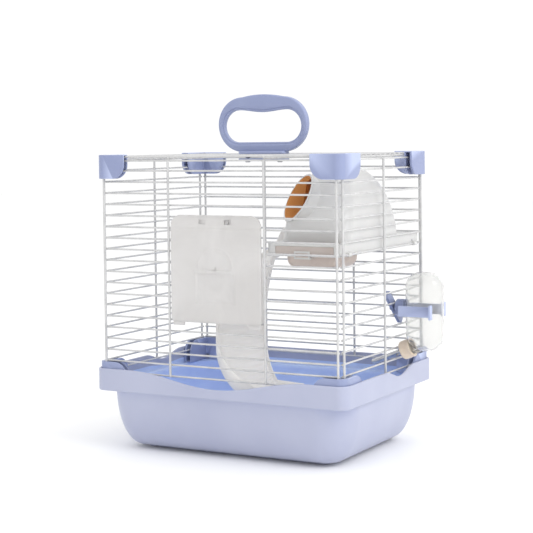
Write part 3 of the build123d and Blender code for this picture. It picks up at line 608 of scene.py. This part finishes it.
def handle_outlines():
    """Outer outline and grip opening of the handle."""
    corner, top = HANDLE_CORNER, HANDLE_HIGH.z
    cx, cz = HANDLE_HIGH.x - corner, HANDLE_BASE + corner
    shoulder = HANDLE_BASE + 2 * corner
    crown = [2 * i / CROWN_STEPS for i in range(1, CROWN_STEPS)]
    outer = arc(cx, cz, corner, -90, 90, 28)
    outer += [(cx - cx * t, shoulder + (top - shoulder) * (1 - (t - 1) ** 2)) for t in crown]
    outer += arc(-cx, cz, corner, 90, 270, 28)
    radius = GRIP_CORNER
    gx, gz = GRIP_HALF - radius, HANDLE_BASE + GRIP_ABOVE + radius
    inner = arc(gx, gz, radius, -90, 90, 24)
    inner += [(gx - gx * t, gz + radius - SWELL * (1 - math.cos(math.pi * t))) for t in crown]
    inner += arc(-gx, gz, radius, 90, 270, 24)
    return outer, inner


def grown(points, amount):
    """Outline moved outwards by an amount."""
    result = []
    count = len(points)
    for i in range(count):
        a, b = Vector(points[i - 1]), Vector(points[(i + 1) % count])
        t = (b - a).normalized()
        result.append((points[i][0] + t.y * amount, points[i][1] - t.x * amount))
    return result


OUTER, INNER = handle_outlines()
loop = plate("Handle_loop", [OUTER, grown(INNER, 2.2)], 8.0, 1.6, 4)
add_piece("Handle_loop", loop, "handle", BLUE, sharp=60)
lip = plate("Handle_grip_lip", [grown(INNER, 3.4), INNER], 5.6, 1.2, 3)
add_piece("Handle_grip_lip", lip, "handle", BLUE, replace=False, sharp=60)


def foot_rings():
    """Rounded foot that sits on the top wires."""
    rings = []
    for inset, z in ((0.8, 316.1), (0.2, 316.3), (0.0, 316.9), (0.0, 317.8), (0.3, 318.8), (1.4, 319.3)):
        outline = rounded_rectangle(FOOT_HALF[0] - inset, FOOT_HALF[1] - inset, FOOT_CORNER)
        rings.append([(x, y, z) for x, y in outline])
    return rings


add_loft("Handle_foot", foot_rings(), "handle", BLUE, replace=False)
posts = Bundle()
for side in (-1, 1):
    posts.rod((side * POST_X, 0, POST_Z[0]), (side * POST_X, 0, POST_Z[1]), POST_R, sides=24)
add_piece("Handle_posts", posts.mesh("Handle_posts"), "handle", BLUE, replace=False)
rounded_copy("handle_clip_plate", "Handle_clip_plate", 0.5, BLUE)
rounded_copy("handle_screws", "Handle_screws", 0.15, SCREW, segments=2)


# ---------------------------------------------------------------- cut and turned meshes

def loose(name, mesh):
    """Object for a mesh that is only used to build another."""
    item = bpy.data.objects.new(name, mesh)
    bpy.context.scene.collection.objects.link(item)
    return item


def combine(name, base, steps):
    """Mesh from boolean steps; each step is (operation, mesh). Material slots follow each mesh."""
    target = loose(name, base)
    helpers = []
    for operation, mesh in steps:
        helper = loose(name + "_tool", mesh)
        helpers.append(helper)
        modifier = target.modifiers.new("cut", "BOOLEAN")
        modifier.operation = operation
        modifier.object = helper
        modifier.solver = "EXACT"
        modifier.material_mode = "TRANSFER"
    bpy.context.view_layer.update()
    mesh = bpy.data.meshes.new_from_object(target.evaluated_get(bpy.context.evaluated_depsgraph_get()))
    for item in helpers + [target]:
        bpy.data.objects.remove(item)
    mesh.name = name
    return mesh


def box_mesh(low, high):
    """Box from its corners, in millimetres."""
    rings = [[(low[0], low[1], z), (high[0], low[1], z), (high[0], high[1], z), (low[0], high[1], z)]
             for z in (low[2], high[2])]
    return loft_piece("tool", rings)


def frame_of(origin, direction):
    """Origin and three axes, the last along a direction."""
    w = Vector(direction).normalized()
    u = Vector((0, 1, 0)) if abs(w.y) < 0.9 else Vector((1, 0, 0))
    u = (u - w * u.dot(w)).normalized()
    return Vector(origin), u, w.cross(u), w


def turned(name, origin, direction, profile, sides=64, ribs=0, rib_depth=0.0, closed=False):
    """Turned piece; profile is (distance, radius, ribbed from 0 to 1)."""
    o, u, v, w = frame_of(origin, direction)
    rings = []
    for row in profile:
        distance, radius = row[0], row[1]
        share = row[2] if len(row) > 2 else 0.0
        ring = []
        for k in range(sides):
            t = 2 * math.pi * k / sides
            r = radius - rib_depth * share * (0.5 - 0.5 * math.cos(ribs * t)) if ribs else radius
            ring.append(o + w * distance + (u * math.cos(t) + v * math.sin(t)) * r)
        rings.append(ring)
    return loft_piece(name, rings, close_path=closed, caps=not closed)


# ---------------------------------------------------------------- door

DOOR_T, DOOR_CORNER, DOOR_FOOT_CORNER = 2.5, 12.0, 4.0
DOOR_BACK, DOOR_BOTTOM = -104.3, 142.5
HINGE_Y, HINGE_Z = -102.95, 252.0
CREASE_Z, LEDGE_TOP_Z, ARCH_R = 240.0, 196.0, 21.0
POCKET_HALF, POCKET_LOW, PAD_HALF, PAD_LOW = 24, 162, 17, 166
RIDGE_FROM, RIDGE_TO = -25, 18
CLIP_X, CLIP_HALF, CLIP_MIDDLE_R, STOP_X, STOP_HALF = 15.0, 4.0, 1.6, 45.0, 7.0
SLOT_HALF, SLOT_Z = 4.2, (244.8, 249.6)


def door_relief(x, z):
    """How far the door's front stands out at a place on it."""
    h = -0.45 * math.exp(-((z - CREASE_Z) / 0.7) ** 2) - 0.5 * smooth(z, CREASE_Z, DOOR_HIGH.z)
    arch = ARCH_R - math.hypot(x, max(z - LEDGE_TOP_Z - 4, 0))
    if z > LEDGE_TOP_Z + 1.5:
        h += 0.55 * math.exp(-((arch - 0.6) / 1.0) ** 2) * smooth(z, LEDGE_TOP_Z + 2, LEDGE_TOP_Z + 8)
        h -= 0.55 * smooth(arch, 1.0, 6.0)
    pocket = min(POCKET_HALF - abs(x), z - POCKET_LOW, LEDGE_TOP_Z - 1 - z)
    h -= 0.95 * smooth(pocket, 0, 2.4)
    pad = min(PAD_HALF - abs(x - 1), z - PAD_LOW, LEDGE_TOP_Z - 6 - z)
    h += 0.5 * smooth(pad, 0, 5.0)
    ridge = min(x - RIDGE_FROM, RIDGE_TO - x, z - LEDGE_TOP_Z + 2.2, LEDGE_TOP_Z + 1.6 - z)
    h += 0.75 * smooth(ridge, 0, 0.9)
    return h


def door_rings():
    """Rings from the middle of the front, round the edge, to the middle of the back."""
    half_x, half_z = DOOR_HIGH.x, (DOOR_HIGH.z - DOOR_BOTTOM) / 2
    mid_z = (DOOR_HIGH.z + DOOR_BOTTOM) / 2
    front = DOOR_BACK - DOOR_T

    def ring(inset, y, relief):
        points = []
        top = rounded_rectangle(half_x - inset, half_z - inset, max(DOOR_CORNER - inset, 1.0), 10, 40)
        foot = rounded_rectangle(half_x - inset, half_z - inset, max(DOOR_FOOT_CORNER - inset, 1.0), 10, 40)
        for (xt, zt), (xf, zf) in zip(top, foot):
            x, z = (xt, zt) if zt > 0 else (xf, zf)
            depth = door_relief(x, z + mid_z) if relief else 0
            points.append((x, y - depth, z + mid_z))
        return points

    rings = [ring(half_x - 0.6 - (half_x - 0.7) * i / 62, front, True) for i in range(61)]
    rings.append(ring(0.9, front + 0.05, True))
    rounding = [(0.45, front + 0.2), (0.12, front + 0.5), (0, front + 0.95), (0, DOOR_BACK - 0.8),
                (0.15, DOOR_BACK - 0.35), (0.6, DOOR_BACK - 0.05), (1.2, DOOR_BACK),
                (half_x - 0.6, DOOR_BACK)]
    return rings + [ring(inset, y, False) for inset, y in rounding]


slots = [("DIFFERENCE", box_mesh((side * CLIP_X - SLOT_HALF, -110, SLOT_Z[0]),
                                 (side * CLIP_X + SLOT_HALF, -100, SLOT_Z[1]))) for side in (-1, 1)]
flap = combine("Door_flap", loft_piece("Door_flap", door_rings()), slots)
add_piece("Door_flap", flap, "door", MILKY, sharp=50)


def hinge_clip(x0, x1):
    """Rings of a C-shaped clip round the hinge wire, rounded towards its ends."""
    profile = [(HINGE_Y + 2.3 * math.cos(math.radians(a)), HINGE_Z + 2.3 * math.sin(math.radians(a)))
               for a in range(24, 337, 12)]
    profile += [(HINGE_Y + 1.08 * math.cos(math.radians(a)), HINGE_Z + 1.08 * math.sin(math.radians(a)))
                for a in range(324, 35, -12)]
    rings = []
    for x, shrink in ((x0, 0.82), (x0 + 0.15, 0.95), (x0 + 0.5, 1.0),
                      (x1 - 0.5, 1.0), (x1 - 0.15, 0.95), (x1, 0.82)):
        ring = []
        for y, z in profile:
            r = math.hypot(y - HINGE_Y, z - HINGE_Z)
            r2 = CLIP_MIDDLE_R + (r - CLIP_MIDDLE_R) * shrink
            ring.append((x, HINGE_Y + (y - HINGE_Y) * r2 / r, HINGE_Z + (z - HINGE_Z) * r2 / r))
        rings.append(ring)
    return rings


def soft_block(low, high, radius=0.6):
    """Rings of a block with rounded upright edges and softened ends."""
    cx, cy = (low[0] + high[0]) / 2, (low[1] + high[1]) / 2
    hx, hy = (high[0] - low[0]) / 2, (high[1] - low[1]) / 2
    rings = []
    for inset, z in ((radius, low[2]), (radius * 0.3, low[2] + radius * 0.3), (0, low[2] + radius),
                     (0, high[2] - radius), (radius * 0.3, high[2] - radius * 0.3), (radius, high[2])):
        outline = rounded_rectangle(hx - inset, hy - inset, max(radius * 1.3 - inset, 0.1), 4)
        rings.append([(cx + x, cy + y, z) for x, y in outline])
    return rings


clips = Bundle()
for side in (-1, 1):
    x0, x1 = side * CLIP_X - CLIP_HALF, side * CLIP_X + CLIP_HALF
    clips.ring_stack(hinge_clip(x0, x1))
    clips.ring_stack(soft_block((x0, -106.2, 250.4), (x1, -104.2, 253.0), 0.5))
    x0, x1 = side * STOP_X - STOP_HALF, side * STOP_X + STOP_HALF
    clips.ring_stack(soft_block((x0, -106.2, 139.0), (x1, -104.6, 144.5), 0.5))
add_piece("Door_clips", clips.mesh("Door_clips"), "door", MILKY, replace=False, sharp=50)


# ---------------------------------------------------------------- platform, bowl

rounded_copy("platform", "Platform_deck", 0.45, DECK)
BOWL_MIDDLE, BOWL_HALF, BOWL_Z = (104.0, -67.5), (29.6, 29.1), (201.5, 224.4)
BOWL_FOOT_R, BOWL_INNER_R, BOWL_WALL = 9.0, 7.4, 2.6


def bowl_rings():
    """Rings from the middle of the base, up the outside, over the rim and down to the inner floor."""
    low, high = BOWL_Z
    rows = [(16.0, low)]
    for i in range(9):
        a = math.radians(90 * i / 8)
        rows.append((BOWL_FOOT_R * (1 - math.sin(a)) + 1.0, low + BOWL_FOOT_R * (1 - math.cos(a))))
    rows += [(0.5, high - 5.0), (0.05, high - 0.6), (0.4, high), (1.2, high), (1.6, high - 0.5),
             (2.1, high - 5.0), (BOWL_WALL, low + 10.0)]
    for i in range(9):
        a = math.radians(90 * i / 8)
        rows.append((BOWL_WALL + BOWL_INNER_R * (1 - math.cos(a)),
                     low + BOWL_FOOT_R - BOWL_INNER_R * math.sin(a)))
    rings = []
    for inset, z in rows + [(18.0, low + 1.6)]:
        outline = rounded_rectangle(BOWL_HALF[0] - inset, BOWL_HALF[1] - inset,
                                    max(BOWL_FOOT_R - inset * 0.6, 2.0), 10)
        rings.append([(BOWL_MIDDLE[0] + x, BOWL_MIDDLE[1] + y, z) for x, y in outline])
    return rings


add_loft("Food_bowl", bowl_rings(), "food_bowl", MILKY_TAN, sharp=50)


def pane_rings(middle, half, corner, softness, steps, rows):
    """Rings of a small pane in the XZ plane; rows are (inset, y)."""
    rings = []
    for inset, y in rows:
        outline = rounded_rectangle(half[0] - inset, half[1] - inset, corner - inset * softness, steps)
        rings.append([(middle[0] + x, y, middle[1] + z) for x, z in outline])
    return rings


window = pane_rings((100.0, 219.8), (32.8, 4.4), 1.6, 0.8, 6,
                    ((0, -99.15), (0, -99.75), (0.35, -99.95), (0.9, -99.98)))
add_loft("Bowl_window", window, "platform", MILKY_TAN, replace=False)

# Clip screw at the back of the deck's outer edge
peg_profile = [(-0.9, 0.2), (-0.9, 1.2), (-0.1, 1.2), (0.15, 1.0), (0.25, 0.7), (0.1, 0.45), (-0.3, 0.35)]
peg = turned("Deck_screw", (138.5, 83.0, 219.4), (1, 0, 0), peg_profile, 24)
add_piece("Deck_screw", peg, "platform", SCREW, replace=False)

# Clip tab of the bowl: an upright leaf and a foot under the deck's edge
TAB_LOW = (89.0, -101.5, 211.5)
tab = Bundle()
tab.ring_stack(soft_block(TAB_LOW, (107.0, -100.55, 219.5), 0.4))
tab.ring_stack(soft_block(TAB_LOW, (107.0, -95.4, 213.6), 0.4))
add_piece("Bowl_tab", tab.mesh("Bowl_tab"), "food_bowl", DECK, replace=False)
pad = pane_rings((98.0, 215.4), (7.2, 2.3), 0.9, 1.0, 5,
                 ((0.0, -101.3), (0.0, -101.6), (0.3, -101.75), (0.6, -101.78)))
add_loft("Bowl_tab_pad", pad, "food_bowl", MILKY_TAN, replace=False)


# ---------------------------------------------------------------- hut

HUT_X, HUT_Y, HUT_Z = 99.0, -12.0, 227.1
HUT_HALF, HUT_H, HUT_WALL, HUT_POWER, HUT_CORNER = (38.0, 66.0), 77.0, 1.8, 2.4, 10.0
ENTRANCE, ENTRANCE_DIR = Vector((75.0, -62.0, 271.0)), Vector((-0.59, -0.667, 0.455)).normalized()
ENTRANCE_R, COLLAR_R = 25.0, 26.8
DOORWAY_Y, DOORWAY_Z, DOORWAY_R, DOORWAY_X = -2.0, 227.0, 21.0, (50.0, 88.0)


def hut_rings(inset, extra_foot=0.0):
    """Rings of the dome from its foot to its crown."""
    rings = []
    rows = 30
    for i in range(rows + 1):
        a = math.radians(90 * i / rows * 0.992)
        level = math.sin(a) ** (2 / HUT_POWER)
        scale = (1 - level ** HUT_POWER) ** (1 / HUT_POWER)
        half_x, half_y = (HUT_HALF[0] - inset) * scale, (HUT_HALF[1] - inset) * scale
        radius = min(HUT_CORNER + (half_x - HUT_CORNER) * level * 0.9, half_x * 0.98)
        z = HUT_Z + level * (HUT_H - inset) - (extra_foot if i == 0 else 0)
        rings.append([(HUT_X + x, HUT_Y + y, z) for x, y in rounded_rectangle(half_x, half_y, radius, 12, 8)])
    return rings


def coloured(mesh, material):
    """Smooth mesh with a material of its own, for a boolean step."""
    mesh.materials.append(material)
    for polygon in mesh.polygons:
        polygon.use_smooth = True
    return mesh


def hut_shell():
    """Dome cut by the entrance plane, hollowed, with its side doorway."""
    outer = coloured(loft_piece("Hut_shell", hut_rings(0)), WHITE)
    plane_cut = coloured(turned("tool", ENTRANCE, ENTRANCE_DIR, [(0, 90), (60, 90)], 48), WHITE)
    collar_profile = [(-13.5, COLLAR_R - 0.6), (-13, COLLAR_R), (0.2, COLLAR_R), (0.9, COLLAR_R - 0.2),
                      (1.2, COLLAR_R - 0.8)]
    collar = coloured(turned("tool", ENTRANCE, ENTRANCE_DIR, collar_profile, 96), WHITE)
    hollow = coloured(loft_piece("tool", hut_rings(HUT_WALL, 4.0)), INSIDE)
    hole = coloured(turned("tool", ENTRANCE, ENTRANCE_DIR, [(-20, ENTRANCE_R), (20, ENTRANCE_R)], 96), INSIDE)
    arch = [(-DOORWAY_R, -5), (DOORWAY_R, -5)] + arc(0, 17, DOORWAY_R, 0, 180, 24)
    rings = [[(x, DOORWAY_Y + y, DOORWAY_Z + z) for y, z in arch] for x in DOORWAY_X]
    doorway = coloured(loft_piece("tool", rings), WHITE)
    return combine("Hut_shell", outer, [("DIFFERENCE", plane_cut), ("UNION", collar), ("DIFFERENCE", hollow),
                                        ("DIFFERENCE", hole), ("DIFFERENCE", doorway)])


add_piece("Hut_shell", hut_shell(), "hut", [], sharp=32)
ring_profile = [(-0.6, 26.75), (-0.2, 27.3), (0.6, 27.45), (1.15, 27.0), (1.35, 26.2), (1.25, 25.4),
                (0.6, 25.05), (-0.4, 25.0), (-0.6, 25.6)]
entrance_ring = turned("Hut_entrance_ring", ENTRANCE, ENTRANCE_DIR, ring_profile, 96, closed=True)
add_piece("Hut_entrance_ring", entrance_ring, "hut", WHITE, replace=False, sharp=60)


# ---------------------------------------------------------------- slide

TURN_X, TURN_Y = 34.0, -34.6
CHUTE_IN, CHUTE_OUT, CHUTE_T = 13.2, 66.3, 2.0
CHUTE_TOP, CHUTE_DROP, CHUTE_TURN, CHUTE_EASE = 225.0, 159.5, 204.0, 0.42
OUTER_H, INNER_H, RIB_PITCH, RIB_H = 5.0, 13.0, 8.0, 1.5
LEAD_X, LEAD_PITCH, LEAD_STEPS, TURN_STEPS = 57.7, 6.0, 24, 190
EXIT_LENGTH, EXIT_FALL, EXIT_PITCH, EXIT_STEPS = 28.0, 4.0, 6.5, 24
SKIRT, SKIRT_GROWTH, RIB_RISE = 10.0, 5.0, 0.78


def chute_height(share):
    """Floor height at a share of the turn; the slope eases at both ends."""
    return CHUTE_TOP - CHUTE_DROP * (share - CHUTE_EASE * math.sin(2 * math.pi * share) / (2 * math.pi))


def chute_stations():
    """Places along the chute: origin, outward direction, floor height, share of the turn, rib phase."""
    stations = []
    lead = LEAD_X - TURN_X
    for i in range(LEAD_STEPS):
        along = lead * i / LEAD_STEPS
        stations.append(((LEAD_X - along, TURN_Y), (0.0, 1.0), CHUTE_TOP, 0.0, along / LEAD_PITCH))
    phase = lead / LEAD_PITCH
    for i in range(TURN_STEPS + 1):
        share = i / TURN_STEPS
        turn = CHUTE_TURN * share
        a = math.radians(90 + turn)
        stations.append(((TURN_X, TURN_Y), (math.cos(a), math.sin(a)), chute_height(share), share,
                         phase + turn / RIB_PITCH))
    a = math.radians(90 + CHUTE_TURN)
    phase += CHUTE_TURN / RIB_PITCH
    for i in range(1, EXIT_STEPS + 1):
        along = EXIT_LENGTH * i / EXIT_STEPS
        place = (TURN_X - math.sin(a) * along, TURN_Y + math.cos(a) * along)
        stations.append((place, (math.cos(a), math.sin(a)), chute_height(1) - EXIT_FALL * i / EXIT_STEPS, 1.0,
                         phase + along / EXIT_PITCH))
    return stations


def chute_ring(origin, outward, floor, share, phase):
    """Closed section of the chute with its rib height at this station."""
    r0, r1, t = CHUTE_IN, CHUTE_OUT, CHUTE_T
    skirt = SKIRT + SKIRT_GROWTH * share ** 3
    saw = phase % 1.0
    rib = RIB_H * (saw / RIB_RISE if saw < RIB_RISE else (1 - saw) / (1 - RIB_RISE))
    points = [(r1, -skirt), (r1, OUTER_H - 0.7), (r1 - 0.3, OUTER_H - 0.15), (r1 - 0.8, OUTER_H),
              (r1 - t + 0.5, OUTER_H - 0.1), (r1 - t, OUTER_H - 0.7), (r1 - t - 0.1, 2.4),
              (r1 - t - 0.7, 1.0), (r1 - t - 2.2, 0.15)]
    points += [(r1 - t - 4.0, rib * 0.4), (r1 - t - 6.0, rib), (50.0, rib), (42.0, rib), (36.0, rib * 1.3),
               (31.0, rib * 1.7), (26.0, rib * 2.0 + 0.2), (22.0, rib * 2.0 + 0.8), (19.2, rib * 1.8 + 1.9),
               (17.2, rib * 1.4 + 3.7), (r0 + t + 0.4, rib * 0.8 + 6.0)]
    points += [(r0 + t, 8.5), (r0 + t, INNER_H - 0.7), (r0 + t - 0.5, INNER_H - 0.1), (r0 + 0.6, INNER_H),
               (r0, INNER_H - 0.6), (r0, -t)]
    points += [(20.0, -t), (35.0, -t), (48.0, -t), (r1 - t, -t), (r1 - t, -skirt)]
    return [(origin[0] + outward[0] * r, origin[1] + outward[1] * r, floor + h) for r, h in points]


add_loft("Slide_chute", [chute_ring(*station) for station in chute_stations()], "slide", CREAM, sharp=50)

# Leg under the straight end of the chute
end = math.radians(90 + CHUTE_TURN)
leg_rings = []
for z, inset in ((6.0, 0.5), (6.5, 0.0), (61.0, 0.0)):
    ring = []
    for d, r in rounded_rectangle(9.5 - inset, 13.0 - inset, 3.0, 5):
        along, across = 14.5 + d, 33.0 + r
        ring.append((TURN_X + math.cos(end) * across - math.sin(end) * along,
                     TURN_Y + math.sin(end) * across + math.cos(end) * along, z))
    leg_rings.append(ring)
add_loft("Slide_leg", leg_rings, "slide", CREAM, replace=False)
doorway_lip = soft_block((54.0, -7.9, 226.0), (66.0, 18.0, 228.2), 0.8)
add_loft("Slide_lip", doorway_lip, "slide", CREAM, replace=False)


# ---------------------------------------------------------------- bottle, cap, tube, holder

NECK_SLOPE = math.radians(22.0)
NECK_START = Vector((160.0, 35.0, 109.8))
NECK_DIR = Vector((-math.cos(NECK_SLOPE), 0, -math.sin(NECK_SLOPE)))
BOTTLE_CENTRE, BOTTLE_HALF, BOTTLE_CORNER = (173.0, 35.0), (20.2, 15.7), 14.8
BOTTLE_Z, BOTTLE_ROUND, BOTTLE_WALL, BOTTLE_BULGE = (106.0, 189.6), (17.0, 15.5), 1.2, 0.12


def bottle_rings(inset):
    """Rings of the flat-sided bottle, rounded at both ends."""
    low, high = BOTTLE_Z[0] + inset, BOTTLE_Z[1] - inset
    foot, crown = BOTTLE_ROUND[0] - inset, BOTTLE_ROUND[1] - inset
    rows = []
    for i in range(13):
        a = math.radians(4 + 86 * i / 12)
        rows.append((foot * (1 - math.sin(a)), low + foot * (1 - math.cos(a))))
    rows += [(-BOTTLE_BULGE * math.sin(math.pi * i / 10), low + foot + (high - crown - low - foot) * i / 10)
             for i in range(1, 10)]
    for i in range(13):
        a = math.radians(90 - 86 * i / 12)
        rows.append((crown * (1 - math.sin(a)), high - crown * (1 - math.cos(a))))
    rings = []
    for shrink, z in rows:
        hx = BOTTLE_HALF[0] - inset - shrink
        hy = BOTTLE_HALF[1] - inset - shrink * (BOTTLE_HALF[1] - inset - 0.4) / (BOTTLE_ROUND[0] - inset)
        hy = max(hy, 0.3)
        radius = max(min(BOTTLE_CORNER - inset, hy * 0.98, hx * 0.98), 0.1)
        rings.append([(BOTTLE_CENTRE[0] + x, BOTTLE_CENTRE[1] + y, z)
                      for x, y in rounded_rectangle(hx, hy, radius, 10, 6)])
    return rings


def bottle_mesh():
    """Hollow bottle with its neck."""
    body = coloured(loft_piece("Bottle", bottle_rings(0)), CLEAR)
    neck_profile = [(-9, 6.5), (-5, 7.5), (10.2, 7.5), (10.6, 7.2)]
    neck = coloured(turned("tool", NECK_START, NECK_DIR, neck_profile, 64), CLEAR)
    bore = coloured(turned("tool", NECK_START, NECK_DIR, [(-9, 5.2), (14, 5.6)], 64), CLEAR)
    hollow = coloured(loft_piece("tool", bottle_rings(BOTTLE_WALL)), CLEAR)
    return combine("Bottle", body, [("UNION", neck), ("DIFFERENCE", hollow), ("DIFFERENCE", bore)])


add_piece("Bottle", bottle_mesh(), "bottle", [], sharp=45)
cap_profile = [(1.6, 7.58), (1.6, 9.7), (1.9, 10.0), (2.6, 10.0), (2.9, 10.0, 1), (11.6, 10.0, 1),
               (12.0, 9.95), (12.9, 9.8), (13.6, 9.3), (14.0, 8.4), (14.05, 5.2), (13.7, 4.6), (13.7, 3.05),
               (12.6, 3.05), (12.6, 7.58)]
cap = turned("Bottle_cap", NECK_START, NECK_DIR, cap_profile, 160, ribs=32, rib_depth=0.5, closed=True)
add_piece("Bottle_cap", cap, "bottle_cap", BEIGE, sharp=40)
tube_profile = [(11.5, 2.4), (11.5, 3.0), (51.0, 3.0), (51.6, 2.8), (52.0, 2.3), (51.9, 1.9), (51.2, 1.95),
                (50.4, 2.4)]
tube = turned("Sipper_tube", NECK_START, NECK_DIR, tube_profile, 48, closed=True)
add_piece("Sipper_tube", tube, "sipper_tube", TUBE, sharp=60)
rounded_copy("bottle_holder", "Bottle_holder", 0.5, BLUE)
rounded_copy("clamp_wing", "Clamp_wing", 0.7, BLUE)
rounded_copy("clamp_screw", "Clamp_screw", 0.2, SCREW, segments=2)
ball_materials = frame["nodes"]["sipper_ball"].data.materials
ball_materials.clear()
ball_materials.append(TUBE)


# ---------------------------------------------------------------- floor, lights, camera

FLOOR_HALF, FLOOR_Z = 6000, -0.6
edges = [[(-FLOOR_HALF, y, FLOOR_Z), (FLOOR_HALF, y, FLOOR_Z)] for y in (-FLOOR_HALF, FLOOR_HALF)]
floor_mesh = loft_piece("Studio_floor", edges, close_ring=False, caps=False)
studio = bpy.data.objects.new("Studio_floor", floor_mesh)
bpy.context.scene.collection.objects.link(studio)
paper = Nodes("Studio_paper")
pale = paper.mix(paper.noise(3, 2), (0.975, 0.975, 0.975), (0.985, 0.985, 0.985))
paper.set(Base_Color=pale, Roughness=0.9)
floor_mesh.materials.append(paper.material)


def area_light(name, place, target, size, power):
    """Soft square light aimed at a point; places in metres."""
    data = bpy.data.lights.new(name, "AREA")
    data.shape = "RECTANGLE"
    data.size = data.size_y = size
    data.energy = power
    light = bpy.data.objects.new(name, data)
    light.location = place
    light.rotation_euler = (Vector(target) - Vector(place)).to_track_quat("-Z", "Y").to_euler()
    bpy.context.scene.collection.objects.link(light)


area_light("Key", (1.9, -0.35, 1.3), (0, 0, 0.15), 1.2, 16)
area_light("Fill", (-1.2, -1.9, 1.0), (0, 0, 0.15), 1.6, 0.5)
area_light("Top", (0.1, 0.2, 2.3), (0, 0, 0.1), 2.0, 5)

world = bpy.data.worlds.new("Studio_world")
world.use_nodes = True
background = world.node_tree.nodes["Background"].inputs
background["Color"].default_value = (1, 1, 1, 1)
background["Strength"].default_value = 1.03
bpy.context.scene.world = world
bpy.context.scene.view_settings.view_transform = "Standard"

CAMERA_PLACE = Vector((0.76302, -1.38061, 0.33200))
AZIMUTH, ELEVATION, ROLL = math.radians(28.83), math.radians(1.35), math.radians(-0.68)
camera_data = bpy.data.cameras.new("Camera")
camera_data.sensor_width = 36
camera_data.lens = 97.6
camera_data.shift_y = -0.175
camera_data.clip_start, camera_data.clip_end = 0.05, 50
camera = bpy.data.objects.new("Camera", camera_data)
bpy.context.scene.collection.objects.link(camera)
back = Vector((math.sin(AZIMUTH) * math.cos(ELEVATION), -math.cos(AZIMUTH) * math.cos(ELEVATION),
               math.sin(ELEVATION)))
right = Vector((math.cos(AZIMUTH), math.sin(AZIMUTH), 0))
up = back.cross(right)
cam_x = right * math.cos(ROLL) + up * math.sin(ROLL)
cam_y = up * math.cos(ROLL) - right * math.sin(ROLL)
matrix = Matrix.Identity(4)
for column, axis in enumerate((cam_x, cam_y, back, CAMERA_PLACE)):
    for row in range(3):
        matrix[row][column] = axis[row]
camera.matrix_world = matrix
bpy.context.scene.camera = camera
